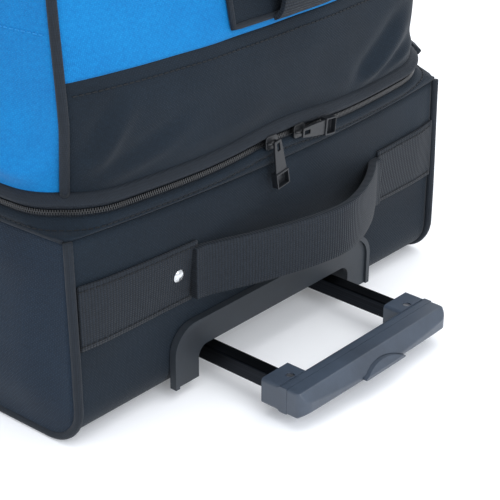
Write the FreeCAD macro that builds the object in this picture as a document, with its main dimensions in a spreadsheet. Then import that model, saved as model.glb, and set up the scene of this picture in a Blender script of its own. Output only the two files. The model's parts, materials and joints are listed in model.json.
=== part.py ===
import FreeCAD, Part
import math
import os
import re

Vector = FreeCAD.Vector

doc = FreeCAD.newDocument("BowlingBag")
sheet = doc.addObject("Spreadsheet::Sheet", "Sizes")

# Driving sizes in mm. +X points to the handle end, +Z up, the floor is z = 0.
sizes = [
    ("half_length", 300, "centre of the bag to the corner of an end face"),
    ("half_width", 205, "centre of the bag to a side panel"),
    ("cloth_bottom", 3, "underside of the cloth above the floor"),
    ("bottom_round", 28, "radius of the side panel's bottom corners"),
    ("flat_top", 58, "height up to which the walls stand flat"),
    ("seam_level", 157, "top seam of the lower walls"),
    ("zip_level", 176, "split line of the compartment zip"),
    ("band_level", 262, "seam between the black band and the blue panel"),
    ("rim_level", 412, "top rim of the upper compartment"),
    ("lid_height", 13, "height of the top lid"),
    ("end_bow", 16, "how far an end wall bows out at the zip"),
    ("side_bow", 11, "how far a side wall bows out at the zip"),
    ("panel_wall", 5, "thickness of a padded side panel"),
    ("end_wall", 4, "thickness of an end or bottom wall"),
    ("piping_radius", 4.2, "radius of the piping cord"),
    ("tray_half_width", 95, "centre to the side of the moulded tray"),
    ("tray_height", 34, "height of the moulded tray"),
    ("recess_gap", 1, "gap at each end of the folded grip in its recess"),
    ("recess_top", 33.5, "height of the handle recess"),
    ("recess_back", 252, "back wall of the handle recess"),
    ("bezel_half_width", 113, "half width of the handle bezel"),
    ("bezel_top", 57, "top of the handle bezel"),
    ("bezel_bottom", 9, "bottom of the handle bezel"),
    ("tube_spacing", 138, "centre to centre of the pull tubes"),
    ("tube_wide", 12.2, "pull tube size across the bag"),
    ("tube_tall", 13.2, "pull tube size upwards"),
    ("tube_wall", 1.2, "pull tube wall"),
    ("tube_level", 21.3, "height of the pull tubes"),
    ("tube_foot", -110, "inner end of the pull tubes"),
    ("slide_gap", 0.4, "gap between a pull tube and its sleeve"),
    ("sleeve_wall", 1.6, "sleeve wall"),
    ("sleeve_start", -235, "rear end of the sleeves"),
    ("grip_start", 363, "where the grip's sockets begin"),
    ("grip_front", 405.5, "front of the grip"),
    ("grip_over", 17, "overhang of the grip past the middle of a tube"),
    ("grip_ridge", 397, "where the grip's top turns down"),
    ("grip_low", 10.5, "underside of the grip"),
    ("grip_high", 31, "top of the grip"),
    ("button_half", 24, "half length of the push button"),
    ("wheel_radius", 38, "outer radius of a wheel"),
    ("wheel_width", 22, "width of a wheel"),
    ("wheel_place", -270, "axle position along the bag"),
    ("wheel_side", 165, "wheel centre from the bag's centre line"),
    ("axle_radius", 4, "axle radius"),
    ("well_radius", 42, "inside radius of a wheel well"),
    ("pod_radius", 46, "outside radius of a wheel well"),
    ("ball_radius", 110, "radius of a ball cup"),
    ("ball_place", 117, "ball centre from the middle of the bag"),
    ("strap_low", 76, "lower edge of the haul strip"),
    ("strap_high", 124, "upper edge of the haul strip"),
    ("haul_low", 80, "lower edge of the haul handle"),
    ("haul_high", 119, "upper edge of the haul handle"),
    ("haul_thick", 7, "thickness of the padded haul handle"),
    ("handle_half", 100, "centre to the end of a carry handle"),
]
for row, (alias, value, note) in enumerate(sizes, start=1):
    sheet.set("A%d" % row, note)
    sheet.set("B%d" % row, str(value))
    sheet.setAlias("B%d" % row, alias)
doc.recompute()

words = [alias for alias, value, note in sizes]


def size(alias):
    return float(getattr(sheet, alias))


def expression(text):
    def link(match):
        word = match.group(0)
        return "Sizes." + word if word in words else word

    return re.sub(r"[a-z_]+", link, str(text))


def bind(thing, place, text):
    thing.setExpression(place, expression(text))


# ---- small builders -------------------------------------------------------

def block(label, x, y, z):
    """A box from low and high expressions along each axis."""
    thing = doc.addObject("Part::Box", label)
    for side, place, (low, high) in zip(("Length", "Width", "Height"), "xyz", (x, y, z)):
        bind(thing, side, "(%s) - (%s)" % (high, low))
        bind(thing, "Placement.Base." + place, low)
    return thing


def rod(label, axis, radius, centre, span):
    """A cylinder along an axis, at two centre expressions, over a span."""
    thing = doc.addObject("Part::Cylinder", label)
    low, high = span
    turns = {
        "x": FreeCAD.Rotation(Vector(0, 1, 0), 90),
        "y": FreeCAD.Rotation(Vector(1, 0, 0), -90),
        "z": FreeCAD.Rotation(),
    }
    thing.Placement = FreeCAD.Placement(Vector(), turns[axis])
    bind(thing, "Radius", radius)
    bind(thing, "Height", "(%s) - (%s)" % (high, low))
    others = [name for name in "xyz" if name != axis]
    bind(thing, "Placement.Base." + axis, low)
    bind(thing, "Placement.Base." + others[0], centre[0])
    bind(thing, "Placement.Base." + others[1], centre[1])
    return thing


def fuse(label, *things):
    thing = doc.addObject("Part::MultiFuse", label)
    thing.Shapes = list(things)
    thing.Refine = True
    return thing


def common(label, *things):
    thing = doc.addObject("Part::MultiCommon", label)
    thing.Shapes = list(things)
    return thing


def cut(label, base, *tools):
    thing = doc.addObject("Part::Cut", label)
    thing.Base = base
    thing.Tool = tools[0] if len(tools) == 1 else fuse(label + "_tools", *tools)
    return thing


def group(label, *things):
    thing = doc.addObject("Part::Compound", label)
    thing.Links = list(things)
    return thing


def soften(label, base, radius, wanted):
    """Round the edges that the test picks."""
    doc.recompute()
    thing = doc.addObject("Part::Fillet", label)
    thing.Base = base
    thing.Edges = [(number, radius, radius)
                   for number, edge in enumerate(base.Shape.Edges, start=1) if wanted(edge)]
    return thing


def along(axis):
    """Test for edges that run along one axis."""
    index = "xyz".index(axis)

    def test(edge):
        low, high = edge.Vertexes[0].Point, edge.Vertexes[-1].Point
        run = [abs(high[i] - low[i]) for i in range(3)]
        return run[index] > 1.0 and sum(run) - run[index] < 0.01

    return test


def soft(label, shape):
    """A sewn piece whose bowed faces no primitive gives."""
    thing = doc.addObject("Part::Feature", label)
    thing.Shape = shape
    return thing


def mirrored(label, source):
    """The same piece on the other side of the bag."""
    thing = doc.addObject("Part::Mirroring", label)
    thing.Source = source
    thing.Base = Vector(0, 0, 0)
    thing.Normal = Vector(0, 1, 0)
    return thing


# ---- the bowed walls ------------------------------------------------------
# A level is height, half length, half width, bow of the ends, bow of the sides.

length, width = size("half_length"), size("half_width")
end_bow, side_bow = size("end_bow"), size("side_bow")
seam, zip_line = size("seam_level"), size("zip_level")
band, rim = size("band_level"), size("rim_level")

lower_levels = [
    (size("cloth_bottom"), length, width, 0, 0),
    (size("flat_top"), length, width, 0, 0),
    (seam, length - 2, width - 2, end_bow - 2, side_bow - 1),
    (zip_line - 3.2, length - 2, width - 2, end_bow, side_bow),
]
zip_levels = [
    (zip_line - 3.2, length - 2, width - 2, end_bow, side_bow),
    (zip_line + 3.3, length - 2, width - 2, end_bow, side_bow),
]
upper_levels = [
    (zip_line + 3.6, length - 2, width - 2, end_bow, side_bow),
    (zip_line + 10.5, length - 8, width - 6, end_bow + 1, side_bow),
    (zip_line + 60, length - 2, width - 6, end_bow - 2, side_bow - 1),
    (zip_line + 145, length - 12, width - 10, end_bow - 4, side_bow - 2),
    (rim, length - 20, width - 15, end_bow - 8, side_bow - 5),
]
lid_levels = [
    (rim + 0.4, length - 20, width - 15, end_bow - 8, side_bow - 5),
    (rim + size("lid_height"), length - 21, width - 16, end_bow - 8, side_bow - 5),
]


def plan_wire(level, grow_x, grow_y, open_x, open_y):
    """Outline at one level; an open side runs on past the walls."""
    z, half_x, half_y, bow_x, bow_y = level
    reach_x = half_x + (60 if open_x else grow_x)
    reach_y = half_y + (60 if open_y else grow_y)
    end = half_x + grow_x
    side = half_y + grow_y
    if open_y:
        corner_x = end + bow_x * (1 - (reach_y / half_y) ** 2)
        corner_y = reach_y
    elif open_x:
        corner_x = reach_x
        corner_y = side + bow_y * (1 - (reach_x / half_x) ** 2)
    else:
        corner_x, corner_y = end, side
    corners = [Vector(corner_x, -corner_y, z), Vector(corner_x, corner_y, z),
               Vector(-corner_x, corner_y, z), Vector(-corner_x, -corner_y, z)]
    tops = [Vector(end + bow_x, 0, z), Vector(0, side + bow_y, z),
            Vector(-end - bow_x, 0, z), Vector(0, -side - bow_y, z)]
    edges = []
    for number in range(4):
        first, last = corners[number], corners[(number + 1) % 4]
        straight = (number % 2 == 0 and open_x) or (number % 2 == 1 and open_y)
        bow = bow_x if number % 2 == 0 else bow_y
        if straight or bow < 0.01:
            edges.append(Part.makeLine(first, last))
        else:
            edges.append(Part.Arc(first, tops[number], last).toShape())
    return Part.Wire(edges)


def bowed(levels, grow_x=0.0, grow_y=0.0, open_x=False, open_y=False):
    wires = [plan_wire(level, grow_x, grow_y, open_x, open_y) for level in levels]
    pieces = []
    for first, last in zip(wires[:-1], wires[1:]):
        pieces.append(Part.makeLoft([first, last], True, True))
    shape = pieces[0]
    for piece in pieces[1:]:
        shape = shape.fuse(piece)
    return shape


def region(x, y, z):
    return Part.makeBox(x[1] - x[0], y[1] - y[0], z[1] - z[0], Vector(x[0], y[0], z[0]))


def skin(levels, side, inner, outer, across, z):
    """A thin piece lying on one wall, from an inner to an outer offset."""
    if side in ("front", "rear"):
        shell = bowed(levels, outer, 0, open_y=True).cut(bowed(levels, inner, 0, open_y=True))
        x = (100, 500) if side == "front" else (-500, -100)
        return shell.common(region(x, across, z))
    shell = bowed(levels, 0, outer, open_x=True).cut(bowed(levels, 0, inner, open_x=True))
    y = (-400, -60) if side == "near" else (60, 400)
    return shell.common(region(across, y, z))


def ring(levels, inner, outer):
    return bowed(levels, outer, outer).cut(bowed(levels, inner, inner))


def wall_at(levels, z):
    """Half length, half width and bows of the walls at a height."""
    for low, high in zip(levels[:-1], levels[1:]):
        if low[0] <= z <= high[0]:
            part = (z - low[0]) / (high[0] - low[0])
            return [a + (b - a) * part for a, b in zip(low[1:], high[1:])]
    return list(levels[-1][1:])


def front_at(levels, y, z):
    half_x, half_y, bow_x, bow_y = wall_at(levels, z)
    return half_x + bow_x * (1 - (y / half_y) ** 2)


def band_face(points, thick):
    """A flat face that follows a path of two coordinates."""
    count = len(points)
    left, right = [], []
    for number, (u, v) in enumerate(points):
        before = points[max(number - 1, 0)]
        after = points[min(number + 1, count - 1)]
        run_u, run_v = after[0] - before[0], after[1] - before[1]
        run = math.hypot(run_u, run_v)
        left.append((u - run_v / run * thick / 2, v + run_u / run * thick / 2))
        right.append((u + run_v / run * thick / 2, v - run_u / run * thick / 2))
    return left, right


def strap(points, thick, place, low, high):
    """Webbing: a path in one plane, given a thickness and a width."""
    left, right = band_face(points, thick)

    def put(pair):
        if place == "z":
            return Vector(pair[0], pair[1], low)
        return Vector(pair[0], low, pair[1])

    curves = []
    for side in (left, right):
        curve = Part.BSplineCurve()
        curve.interpolate([put(pair) for pair in side])
        curves.append(curve.toShape())
    ends = [Part.makeLine(put(left[0]), put(right[0])), Part.makeLine(put(left[-1]), put(right[-1]))]
    face = Part.Face(Part.Wire(Part.__sortEdges__([curves[0], ends[1], curves[1], ends[0]])))
    push = Vector(0, 0, high - low) if place == "z" else Vector(0, high - low, 0)
    return face.extrude(push)


def bead(path, radius):
    """A round cord along a path."""
    first = path.Edges[0]
    start = first.valueAt(first.FirstParameter)
    heading = first.tangentAt(first.FirstParameter)
    circle = Part.Wire([Part.makeCircle(radius, start, heading)])
    return path.makePipeShell([circle], True, True)


def round_post(points, radius):
    """A round cord up a corner: one loft through a circle at each point."""
    rings = [Part.Wire([Part.makeCircle(radius, point)]) for point in points]
    return Part.makeLoft(rings, True, False)


recess_end = "(tube_spacing / 2 + grip_over + recess_gap)"
grip_end = "(tube_spacing / 2 + grip_over)"


def both_ways(end, more=""):
    """Span from minus to plus an expression, each end moved out by more."""
    back = more.replace("+", "~").replace("-", "+").replace("~", "-")
    return ("-%s %s" % (end, back), "%s %s" % (end, more))


# ---- lower compartment: sewn pieces ---------------------------------------

wall, cloth = size("panel_wall"), size("end_wall")
bottom, round_off, flat_top = size("cloth_bottom"), size("bottom_round"), size("flat_top")


def side_profile(low, half, radius, top, reach):
    """Side outline with rounded bottom corners, as a long prism."""
    corner = half - radius
    diagonal = radius * math.sin(math.radians(45))
    level = low + radius
    edges = [
        Part.makeLine(Vector(-reach, -400, level), Vector(-half, -400, level)),
        Part.Arc(Vector(-half, -400, level),
                 Vector(-corner - diagonal, -400, level - diagonal),
                 Vector(-corner, -400, low)).toShape(),
        Part.makeLine(Vector(-corner, -400, low), Vector(corner, -400, low)),
        Part.Arc(Vector(corner, -400, low),
                 Vector(corner + diagonal, -400, level - diagonal),
                 Vector(half, -400, level)).toShape(),
        Part.makeLine(Vector(half, -400, level), Vector(reach, -400, level)),
        Part.makeLine(Vector(reach, -400, level), Vector(reach, -400, top)),
        Part.makeLine(Vector(reach, -400, top), Vector(-reach, -400, top)),
        Part.makeLine(Vector(-reach, -400, top), Vector(-reach, -400, level)),
    ]
    return Part.Face(Part.Wire(edges)).extrude(Vector(0, 800, 0))


walls = lower_levels[:3]
lower_block = bowed(walls).common(side_profile(bottom, length, round_off, seam, length + 60))
lower_hollow = bowed(walls, -cloth, 0, open_y=True).common(
    side_profile(bottom + cloth, length - cloth, round_off - cloth, seam + 1, length + 60))
lower_middle = bowed(walls, 0, -wall, open_x=True)

lower_solid = soft("lower_solid", lower_block)
lower_inside = soft("lower_inside", lower_hollow)
between_panels = soft("between_panels", lower_middle)
near_half = block("near_half", ("-500", "500"), ("-400", "0"), ("-20", "500"))

lower_side_panel_near = cut("lower_side_panel_near",
                            common("lower_near_half", lower_solid, near_half), between_panels)
lower_side_panel_far = mirrored("lower_side_panel_far", lower_side_panel_near)

# Wheel pods take the rear bottom corners.
pod_half = "(wheel_width / 2 + 8)"
pod_low = "-wheel_side - " + pod_half
pod_high = "-wheel_side + " + pod_half
well_low = "-wheel_side - (wheel_width / 2 + 4)"
well_high = "-wheel_side + (wheel_width / 2 + 4)"
pod_round = rod("pod_round", "y", "pod_radius", ("wheel_place", "wheel_radius"), (pod_low, pod_high))
pod_box = block("pod_box", ("-half_length", "wheel_place + pod_radius"),
                (pod_low, pod_high), ("cloth_bottom", "wheel_radius"))
pod_near = common("pod_near", fuse("pod_whole", pod_round, pod_box), lower_solid)
pod_far = mirrored("pod_far", pod_near)

tray_hole = block("tray_hole", ("-245.2", "half_length + 20"),
                  ("-tray_half_width - 0.3", "tray_half_width + 0.3"), ("-5", "cloth_bottom + 10"))
bezel_hole = block("bezel_hole", ("half_length - 70", "half_length + 20"),
                   both_ways(recess_end, "+ 3.3"), ("-5", "recess_top + 3.3"))
lower_gusset = cut("lower_gusset", common("lower_core", lower_solid, between_panels),
                   lower_inside, tray_hole, bezel_hole, pod_near, pod_far)

# Piping runs round each lower side panel, outside the corner.
cord = size("piping_radius")


def lower_cord(side):
    out = length + cord - 1.4
    low = cord + 0.6
    radius = round_off
    corner = out - radius
    diagonal = radius * math.sin(math.radians(45))
    y = side * (width - 2.5)
    level = low + radius
    top = Vector(out - 1, y, seam)
    rear_top = Vector(-out + 1, y, seam)
    edges = [
        Part.makeLine(top, Vector(out, y, level)),
        Part.Arc(Vector(out, y, level), Vector(corner + diagonal, y, level - diagonal),
                 Vector(corner, y, low)).toShape(),
        Part.makeLine(Vector(corner, y, low), Vector(-corner, y, low)),
        Part.Arc(Vector(-corner, y, low), Vector(-corner - diagonal, y, level - diagonal),
                 Vector(-out, y, level)).toShape(),
        Part.makeLine(Vector(-out, y, level), rear_top),
    ]
    return bead(Part.Wire(edges), cord)


lower_piping_near = cut("lower_piping_near", soft("lower_cord_near", lower_cord(-1)), lower_solid)
lower_piping_far = mirrored("lower_piping_far", lower_piping_near)

facing_levels = lower_levels[2:]
lower_zip_facing = soft("lower_zip_facing", ring(facing_levels, -3.0, 0.0))

rear_gap = region((-500, -length + 12), (-400, 400), (0, 500))
lower_teeth_levels = [(zip_line - 3.1,) + zip_levels[0][1:], (zip_line - 0.15,) + zip_levels[0][1:]]
upper_teeth_levels = [(zip_line + 0.15,) + zip_levels[0][1:], (zip_line + 3.4,) + zip_levels[0][1:]]
lower_zip_teeth = soft("lower_zip_teeth", ring(lower_teeth_levels, -3.0, -0.6).cut(rear_gap))

hinge_across = (-width + 25, width - 25)
lower_hinge_tape = soft("lower_hinge_tape", skin(
    lower_levels[2:] + [(zip_line - 0.3,) + zip_levels[0][1:]], "rear", 0.0, 1.2, hinge_across,
    (seam + 1, zip_line - 0.3)))

base_board = cut("base_board",
                 block("base_board_blank", ("-half_length + 8", "half_length - 8"),
                       ("-half_width + 8", "half_width - 8"), ("recess_top + 3.2", "recess_top + 6.2")),
                 *[block("board_notch_%d" % side, ("-half_length", "wheel_place + pod_radius + 1"),
                         ("%d * wheel_side - wheel_width / 2 - 11" % side,
                          "%d * wheel_side + wheel_width / 2 + 11" % side), ("20", "60"))
                   for side in (-1, 1)])

# ---- tray, sleeves and handle housing -------------------------------------

tray_blank = block("tray_blank", ("-245", "recess_back - 0.2"),
                   ("-tray_half_width", "tray_half_width"), ("0", "tray_height"))
tray_shell = cut("tray_shell", soften("tray_round", tray_blank, 5.0,
                                      lambda edge: edge.BoundBox.ZMax < 0.1),
                 block("tray_room", ("-242", "recess_back + 5"),
                       ("-tray_half_width + 3", "tray_half_width - 3"), ("3", "tray_height + 5")))
ribs = [block("tray_rib_%d" % number, (str(place), str(place + 5)),
              ("-tray_half_width + 3", "tray_half_width - 3"), ("3", "tube_level - tube_tall / 2 - 2.1"))
        for number, place in enumerate((-180, -60, 60, 180), start=1)]
undertray = fuse("undertray", tray_shell, *ribs)

recess_shell = block("recess_shell", ("recess_back", "half_length + 2"),
                     both_ways(recess_end, "+ 3"), ("bezel_bottom", "recess_top + 3"))
recess_room = block("recess_room", ("recess_back + 3", "half_length + 30"),
                    both_ways(recess_end), ("-5", "recess_top"))
bezel_blank = block("bezel_blank", ("half_length + 0.1", "half_length + 4"),
                    ("-bezel_half_width", "bezel_half_width"), ("bezel_bottom", "bezel_top"))
bezel_plate = soften("bezel_plate", bezel_blank, 22.0,
                     lambda edge: along("x")(edge) and edge.BoundBox.ZMin > 30)
lip_blank = block("lip_blank", ("half_length + 4", "half_length + 6"),
                  ("-bezel_half_width", "bezel_half_width"), ("bezel_bottom", "bezel_top"))
lip_plate = soften("lip_plate", lip_blank, 22.0,
                   lambda edge: along("x")(edge) and edge.BoundBox.ZMin > 30)
lip_room = soften("lip_room", block("lip_room_blank", ("half_length - 5", "half_length + 20"),
                  ("-bezel_half_width + 4", "bezel_half_width - 4"), ("bezel_bottom - 30", "bezel_top - 4")),
                  18.0, lambda edge: along("x")(edge) and edge.BoundBox.ZMin > 30)
recess_mouth = soften("recess_mouth", block("recess_mouth_blank", ("half_length - 1", "half_length + 30"),
                      both_ways(recess_end), ("-25", "recess_top")),
                      9.0, lambda edge: along("x")(edge) and edge.BoundBox.ZMin > 20)
outer_half_wide = "(tube_wide / 2 + slide_gap)"
outer_half_tall = "(tube_tall / 2 + slide_gap)"


def tube_block(label, side, x, wide, tall):
    centre = "(%d * tube_spacing / 2)" % side
    return block(label, x, (centre + " - " + wide, centre + " + " + wide),
                 ("tube_level - " + tall, "tube_level + " + tall))


def both(label, x, wide, tall):
    return [tube_block(label + "_near", -1, x, wide, tall), tube_block(label + "_far", 1, x, wide, tall)]


back_windows = both("back_window", ("recess_back - 5", "recess_back + 8"),
                    "(tube_wide / 2 + 2.4)", "(tube_tall / 2 + 2.4)")
handle_housing = cut("handle_housing",
                     fuse("housing_whole", cut("recess_cup", recess_shell, recess_room),
                          cut("bezel_ring", bezel_plate, recess_mouth),
                          cut("bezel_lip", lip_plate, lip_room)),
                     *back_windows)

sleeve_wide = "(tube_wide / 2 + slide_gap + sleeve_wall)"
sleeve_tall = "(tube_tall / 2 + slide_gap + sleeve_wall)"
sleeve_outer = both("sleeve_outer", ("sleeve_start", "recess_back - 0.1"), sleeve_wide, sleeve_tall)
sleeve_inner = both("sleeve_inner", ("sleeve_start + 3", "recess_back + 5"), outer_half_wide, outer_half_tall)
lock_holes = [rod("lock_hole_%d_%d" % (side, place), "y", "2.8", (str(place), "tube_level"),
                  ("%d * tube_spacing / 2 + %s" % (side, "4" if side > 0 else "-12"),
                   "%d * tube_spacing / 2 + %s" % (side, "12" if side > 0 else "-4")))
              for side in (-1, 1) for place in (-204, 196)]
outer_sleeves = group("outer_sleeves", *[
    cut("sleeve_%d" % number, outer, inner, *lock_holes[number * 2:number * 2 + 2])
    for number, (outer, inner) in enumerate(zip(sleeve_outer, sleeve_inner))])

collar_outer = both("collar_outer", ("recess_back + 3.1", "recess_back + 6"),
                    "(tube_wide / 2 + 5)", "(tube_tall / 2 + 5)")
collar_neck = both("collar_neck", ("recess_back", "recess_back + 4"),
                   "(tube_wide / 2 + 2.3)", "(tube_tall / 2 + 2.3)")
collar_hole = both("collar_hole", ("recess_back - 2", "recess_back + 9"), outer_half_wide, outer_half_tall)
sleeve_collars = group("sleeve_collars", *[
    cut("collar_%d" % number,
        fuse("collar_body_%d" % number,
             soften("collar_soft_%d" % number, outer, 3.0, along("x")), neck), hole)
    for number, (outer, neck, hole) in enumerate(zip(collar_outer, collar_neck, collar_hole))])

# ---- wheels ---------------------------------------------------------------

axle_line = ("wheel_place", "wheel_radius")
well_round = rod("well_round", "y", "well_radius", axle_line, (well_low, well_high))
well_rear = block("well_rear", ("-half_length - 30", "wheel_place"),
                  (well_low, well_high), ("-10", "wheel_radius"))
well_floor = block("well_floor", ("-half_length - 30", "wheel_place + well_radius"),
                   (well_low, well_high), ("-10", "12"))
axle_bore = rod("axle_bore", "y", "axle_radius + 0.05", axle_line, (pod_low + " - 5", pod_high + " + 5"))
wheel_housing_near = cut("wheel_housing_near", pod_near, well_round, well_rear, well_floor, axle_bore)
wheel_housing_far = mirrored("wheel_housing_far", wheel_housing_near)

axle_near = fuse("axle_near",
                 rod("axle_pin", "y", "axle_radius", axle_line, (pod_low + " - 0.2", pod_high + " + 0.2")),
                 rod("axle_head_outer", "y", "6.5", axle_line, (pod_low + " - 2.2", pod_low + " - 0.1")),
                 rod("axle_head_inner", "y", "6.5", axle_line, (pod_high + " + 0.1", pod_high + " + 2.2")))
axle_far = mirrored("axle_far", axle_near)

tyre_low, tyre_high = "-wheel_side - wheel_width / 2", "-wheel_side + wheel_width / 2"
tyre_blank = soften("tyre_blank", rod("tyre_round", "y", "wheel_radius", axle_line, (tyre_low, tyre_high)),
                    3.5, lambda edge: len(edge.Vertexes) == 1)
tyre_near = cut("tyre_near", tyre_blank,
                rod("tyre_seat", "y", "wheel_radius - 9", axle_line, (tyre_low + " - 2", tyre_high + " + 2")))
tyre_far = mirrored("tyre_far", tyre_near)

hub_low, hub_high = tyre_low + " + 1.5", tyre_high + " - 1.5"
hub_holes = []
for number in range(5):
    angle = math.radians(72 * number + 18)
    hub_holes.append(rod("hub_hole_%d" % number, "y", "5.2",
                         ("wheel_place + %.4f" % (17.5 * math.cos(angle)),
                          "wheel_radius + %.4f" % (17.5 * math.sin(angle))),
                         (hub_low + " - 2", hub_high + " + 2")))
hub_near = cut("hub_near", rod("hub_round", "y", "wheel_radius - 9", axle_line, (hub_low, hub_high)),
               rod("hub_seat", "y", "9", axle_line, (hub_low + " - 2", hub_high + " + 2")), *hub_holes)
hub_far = mirrored("hub_far", hub_near)
wheel_bearing_near = cut("wheel_bearing_near",
                         rod("bearing_round", "y", "9", axle_line, (hub_low, hub_high)),
                         rod("bearing_bore", "y", "axle_radius + 0.06", axle_line,
                             (hub_low + " - 2", hub_high + " + 2")))
wheel_bearing_far = mirrored("wheel_bearing_far", wheel_bearing_near)

# ---- trolley handle -------------------------------------------------------

tube_x = ("tube_foot", "grip_start + 12")
tube_outer = both("tube_outer", tube_x, "tube_wide / 2", "tube_tall / 2")
tube_hollow = both("tube_hollow", ("tube_foot - 5", "grip_start + 20"),
                   "(tube_wide / 2 - tube_wall)", "(tube_tall / 2 - tube_wall)")
pin_holes = [rod("pin_hole_%d" % side, "y", "2.6", ("tube_foot + 10", "tube_level"),
                 ("%d * tube_spacing / 2 + %s" % (side, "1.6" if side > 0 else "-9"),
                  "%d * tube_spacing / 2 + %s" % (side, "9" if side > 0 else "-1.6")))
             for side in (-1, 1)]
inner_tubes = group("inner_tubes", *[
    cut("tube_%d" % number, soften("tube_soft_%d" % number, outer, 1.2, along("x")), hollow, hole)
    for number, (outer, hollow, hole) in enumerate(zip(tube_outer, tube_hollow, pin_holes))])

foot_blocks = both("foot_block", ("tube_foot + 0.5", "tube_foot + 22"),
                   "(tube_wide / 2 - tube_wall)", "(tube_tall / 2 - tube_wall)")
rod_bores = [rod("rod_bore_%d" % side, "x", "2.4", ("%d * tube_spacing / 2" % side, "tube_level"),
                 ("tube_foot - 5", "tube_foot + 30")) for side in (-1, 1)]
tube_feet = group("tube_feet", *[
    cut("foot_%d" % number, foot, bore, hole)
    for number, (foot, bore, hole) in enumerate(zip(foot_blocks, rod_bores, pin_holes))])

grip_split = "grip_start + 23"
socket_blocks = [block("socket_block_%d" % side, ("grip_start", "grip_start + 16"),
                       ("%d * %s + %s" % (side, grip_end, "0" if side < 0 else "-30"),
                        "%d * %s + %s" % (side, grip_end, "30" if side < 0 else "0")),
                       ("grip_low", "grip_high")) for side in (-1, 1)]
socket_soft = [soften("socket_soft_%d" % number, piece, 2.5, along("x"))
               for number, piece in enumerate(socket_blocks)]
back_bar = soften("back_bar", block("back_bar_blank", ("grip_start + 14", grip_split),
                                    both_ways(grip_end), ("grip_low", "grip_high")),
                  4.0, lambda edge: along("y")(edge) and edge.BoundBox.XMax < size("grip_start") + 15)
grip_room = block("grip_room", ("grip_start + 16.4", "grip_front - 8"), both_ways(grip_end, "- 11"),
                  ("grip_low + 3.5", "grip_high - 5.5"))
tube_seats = both("tube_seat", ("grip_start - 5", "grip_start + 16.6"), "tube_wide / 2", "tube_tall / 2")
screw_seats = [rod("screw_seat_%d" % side, "z", "3.2", ("grip_start + 12", "%d * tube_spacing / 2" % side),
                   ("grip_high - 2", "grip_high + 5")) for side in (-1, 1)]
grip_back_shell = cut("grip_back_shell", fuse("grip_back_whole", back_bar, *socket_soft),
                      grip_room, *(tube_seats + screw_seats))
grip_screws = group("grip_screws", *[
    rod("grip_screw_%d" % side, "z", "2.9", ("grip_start + 12", "%d * tube_spacing / 2" % side),
        ("grip_high - 2", "grip_high - 0.8")) for side in (-1, 1)])

grip_front, ridge, split = size("grip_front"), size("grip_ridge"), size("grip_start") + 23
low, high, half = size("grip_low"), size("grip_high"), size("tube_spacing") / 2 + size("grip_over")
grip_bow, grip_corner = 3.5, 9.0


def grip_plan(front, side):
    """Plan of the grip's front half: bowed front, straight back on the split line."""
    corner = front - grip_bow
    return Part.Wire([
        Part.makeLine(Vector(split + 0.2, -side, low), Vector(corner, -side, low)),
        Part.Arc(Vector(corner, -side, low), Vector(front, 0, low), Vector(corner, side, low)).toShape(),
        Part.makeLine(Vector(corner, side, low), Vector(split + 0.2, side, low)),
        Part.makeLine(Vector(split + 0.2, side, low), Vector(split + 0.2, -side, low)),
    ])


def grip_section(proud):
    """Section of the grip's front half: flat top, sloped brow, upright nose, undercut chin."""
    nose = grip_front + proud
    outline = [(split + 0.2, low), (ridge - 2, low), (nose, low + 7.5), (nose, high - 10.5),
               (ridge + proud, high), (split + 0.2, high), (split + 0.2, low)]
    face = Part.Face(Part.makePolygon([Vector(x, -half - 5, z) for x, z in outline]))
    return face.extrude(Vector(0, 2 * half + 10, 0))


front_blank = soft("front_blank", Part.Face(grip_plan(grip_front, half)).extrude(Vector(0, 0, high - low)))
front_corners = soften("front_corners", front_blank, grip_corner,
                       lambda edge: along("z")(edge) and edge.BoundBox.XMin > split + 3)
front_shaped = common("front_shaped", front_corners, soft("grip_section", grip_section(0)))
front_soft = soften("front_soft", front_shaped, 2.0, lambda edge: edge.BoundBox.XMin > split + 1.5)


def lens(end, rise, start, stop):
    """Pointed oval prism along x, for the button and its slot."""
    middle = (low + high) / 2 - 2
    left, right = Vector(start, -end, middle), Vector(start, end, middle)
    outline = Part.Wire([Part.Arc(left, Vector(start, 0, middle + rise), right).toShape(),
                         Part.Arc(right, Vector(start, 0, middle - rise), left).toShape()])
    return Part.Face(outline).extrude(Vector(stop - start, 0, 0))


button_half = size("button_half")
button_rise = 6.2
button_slot = soft("button_slot",
                   lens(button_half + 0.6, button_rise + 0.5, grip_front - 16, grip_front + 20))
grip_front_shell = cut("grip_front_shell", front_soft, grip_room, button_slot)

button_blank = soft("button_blank", lens(button_half, button_rise, grip_front - 9.5, grip_front + 3.4))
grip_button = common("grip_button", button_blank, soft("button_section", grip_section(2.8)))

release_bar = block("release_bar", ("grip_start + 22", "grip_front - 9.6"),
                    ("-tube_spacing / 2 - 3", "tube_spacing / 2 + 3"),
                    ("tube_level - 5.5", "tube_level + 3.5"))
release_rods = group("release_rods", *[
    rod("release_rod_%d" % side, "x", "2", ("%d * tube_spacing / 2" % side, "tube_level"),
        ("tube_foot + 4", "grip_start + 22")) for side in (-1, 1)])
lock_pin_near = rod("lock_pin_near", "y", "2.2", ("tube_foot + 10", "tube_level"),
                    ("-tube_spacing / 2 - 5.9", "-tube_spacing / 2 - 3.5"))
lock_pin_far = mirrored("lock_pin_far", lock_pin_near)

# ---- haul handle on the end wall ------------------------------------------

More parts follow.
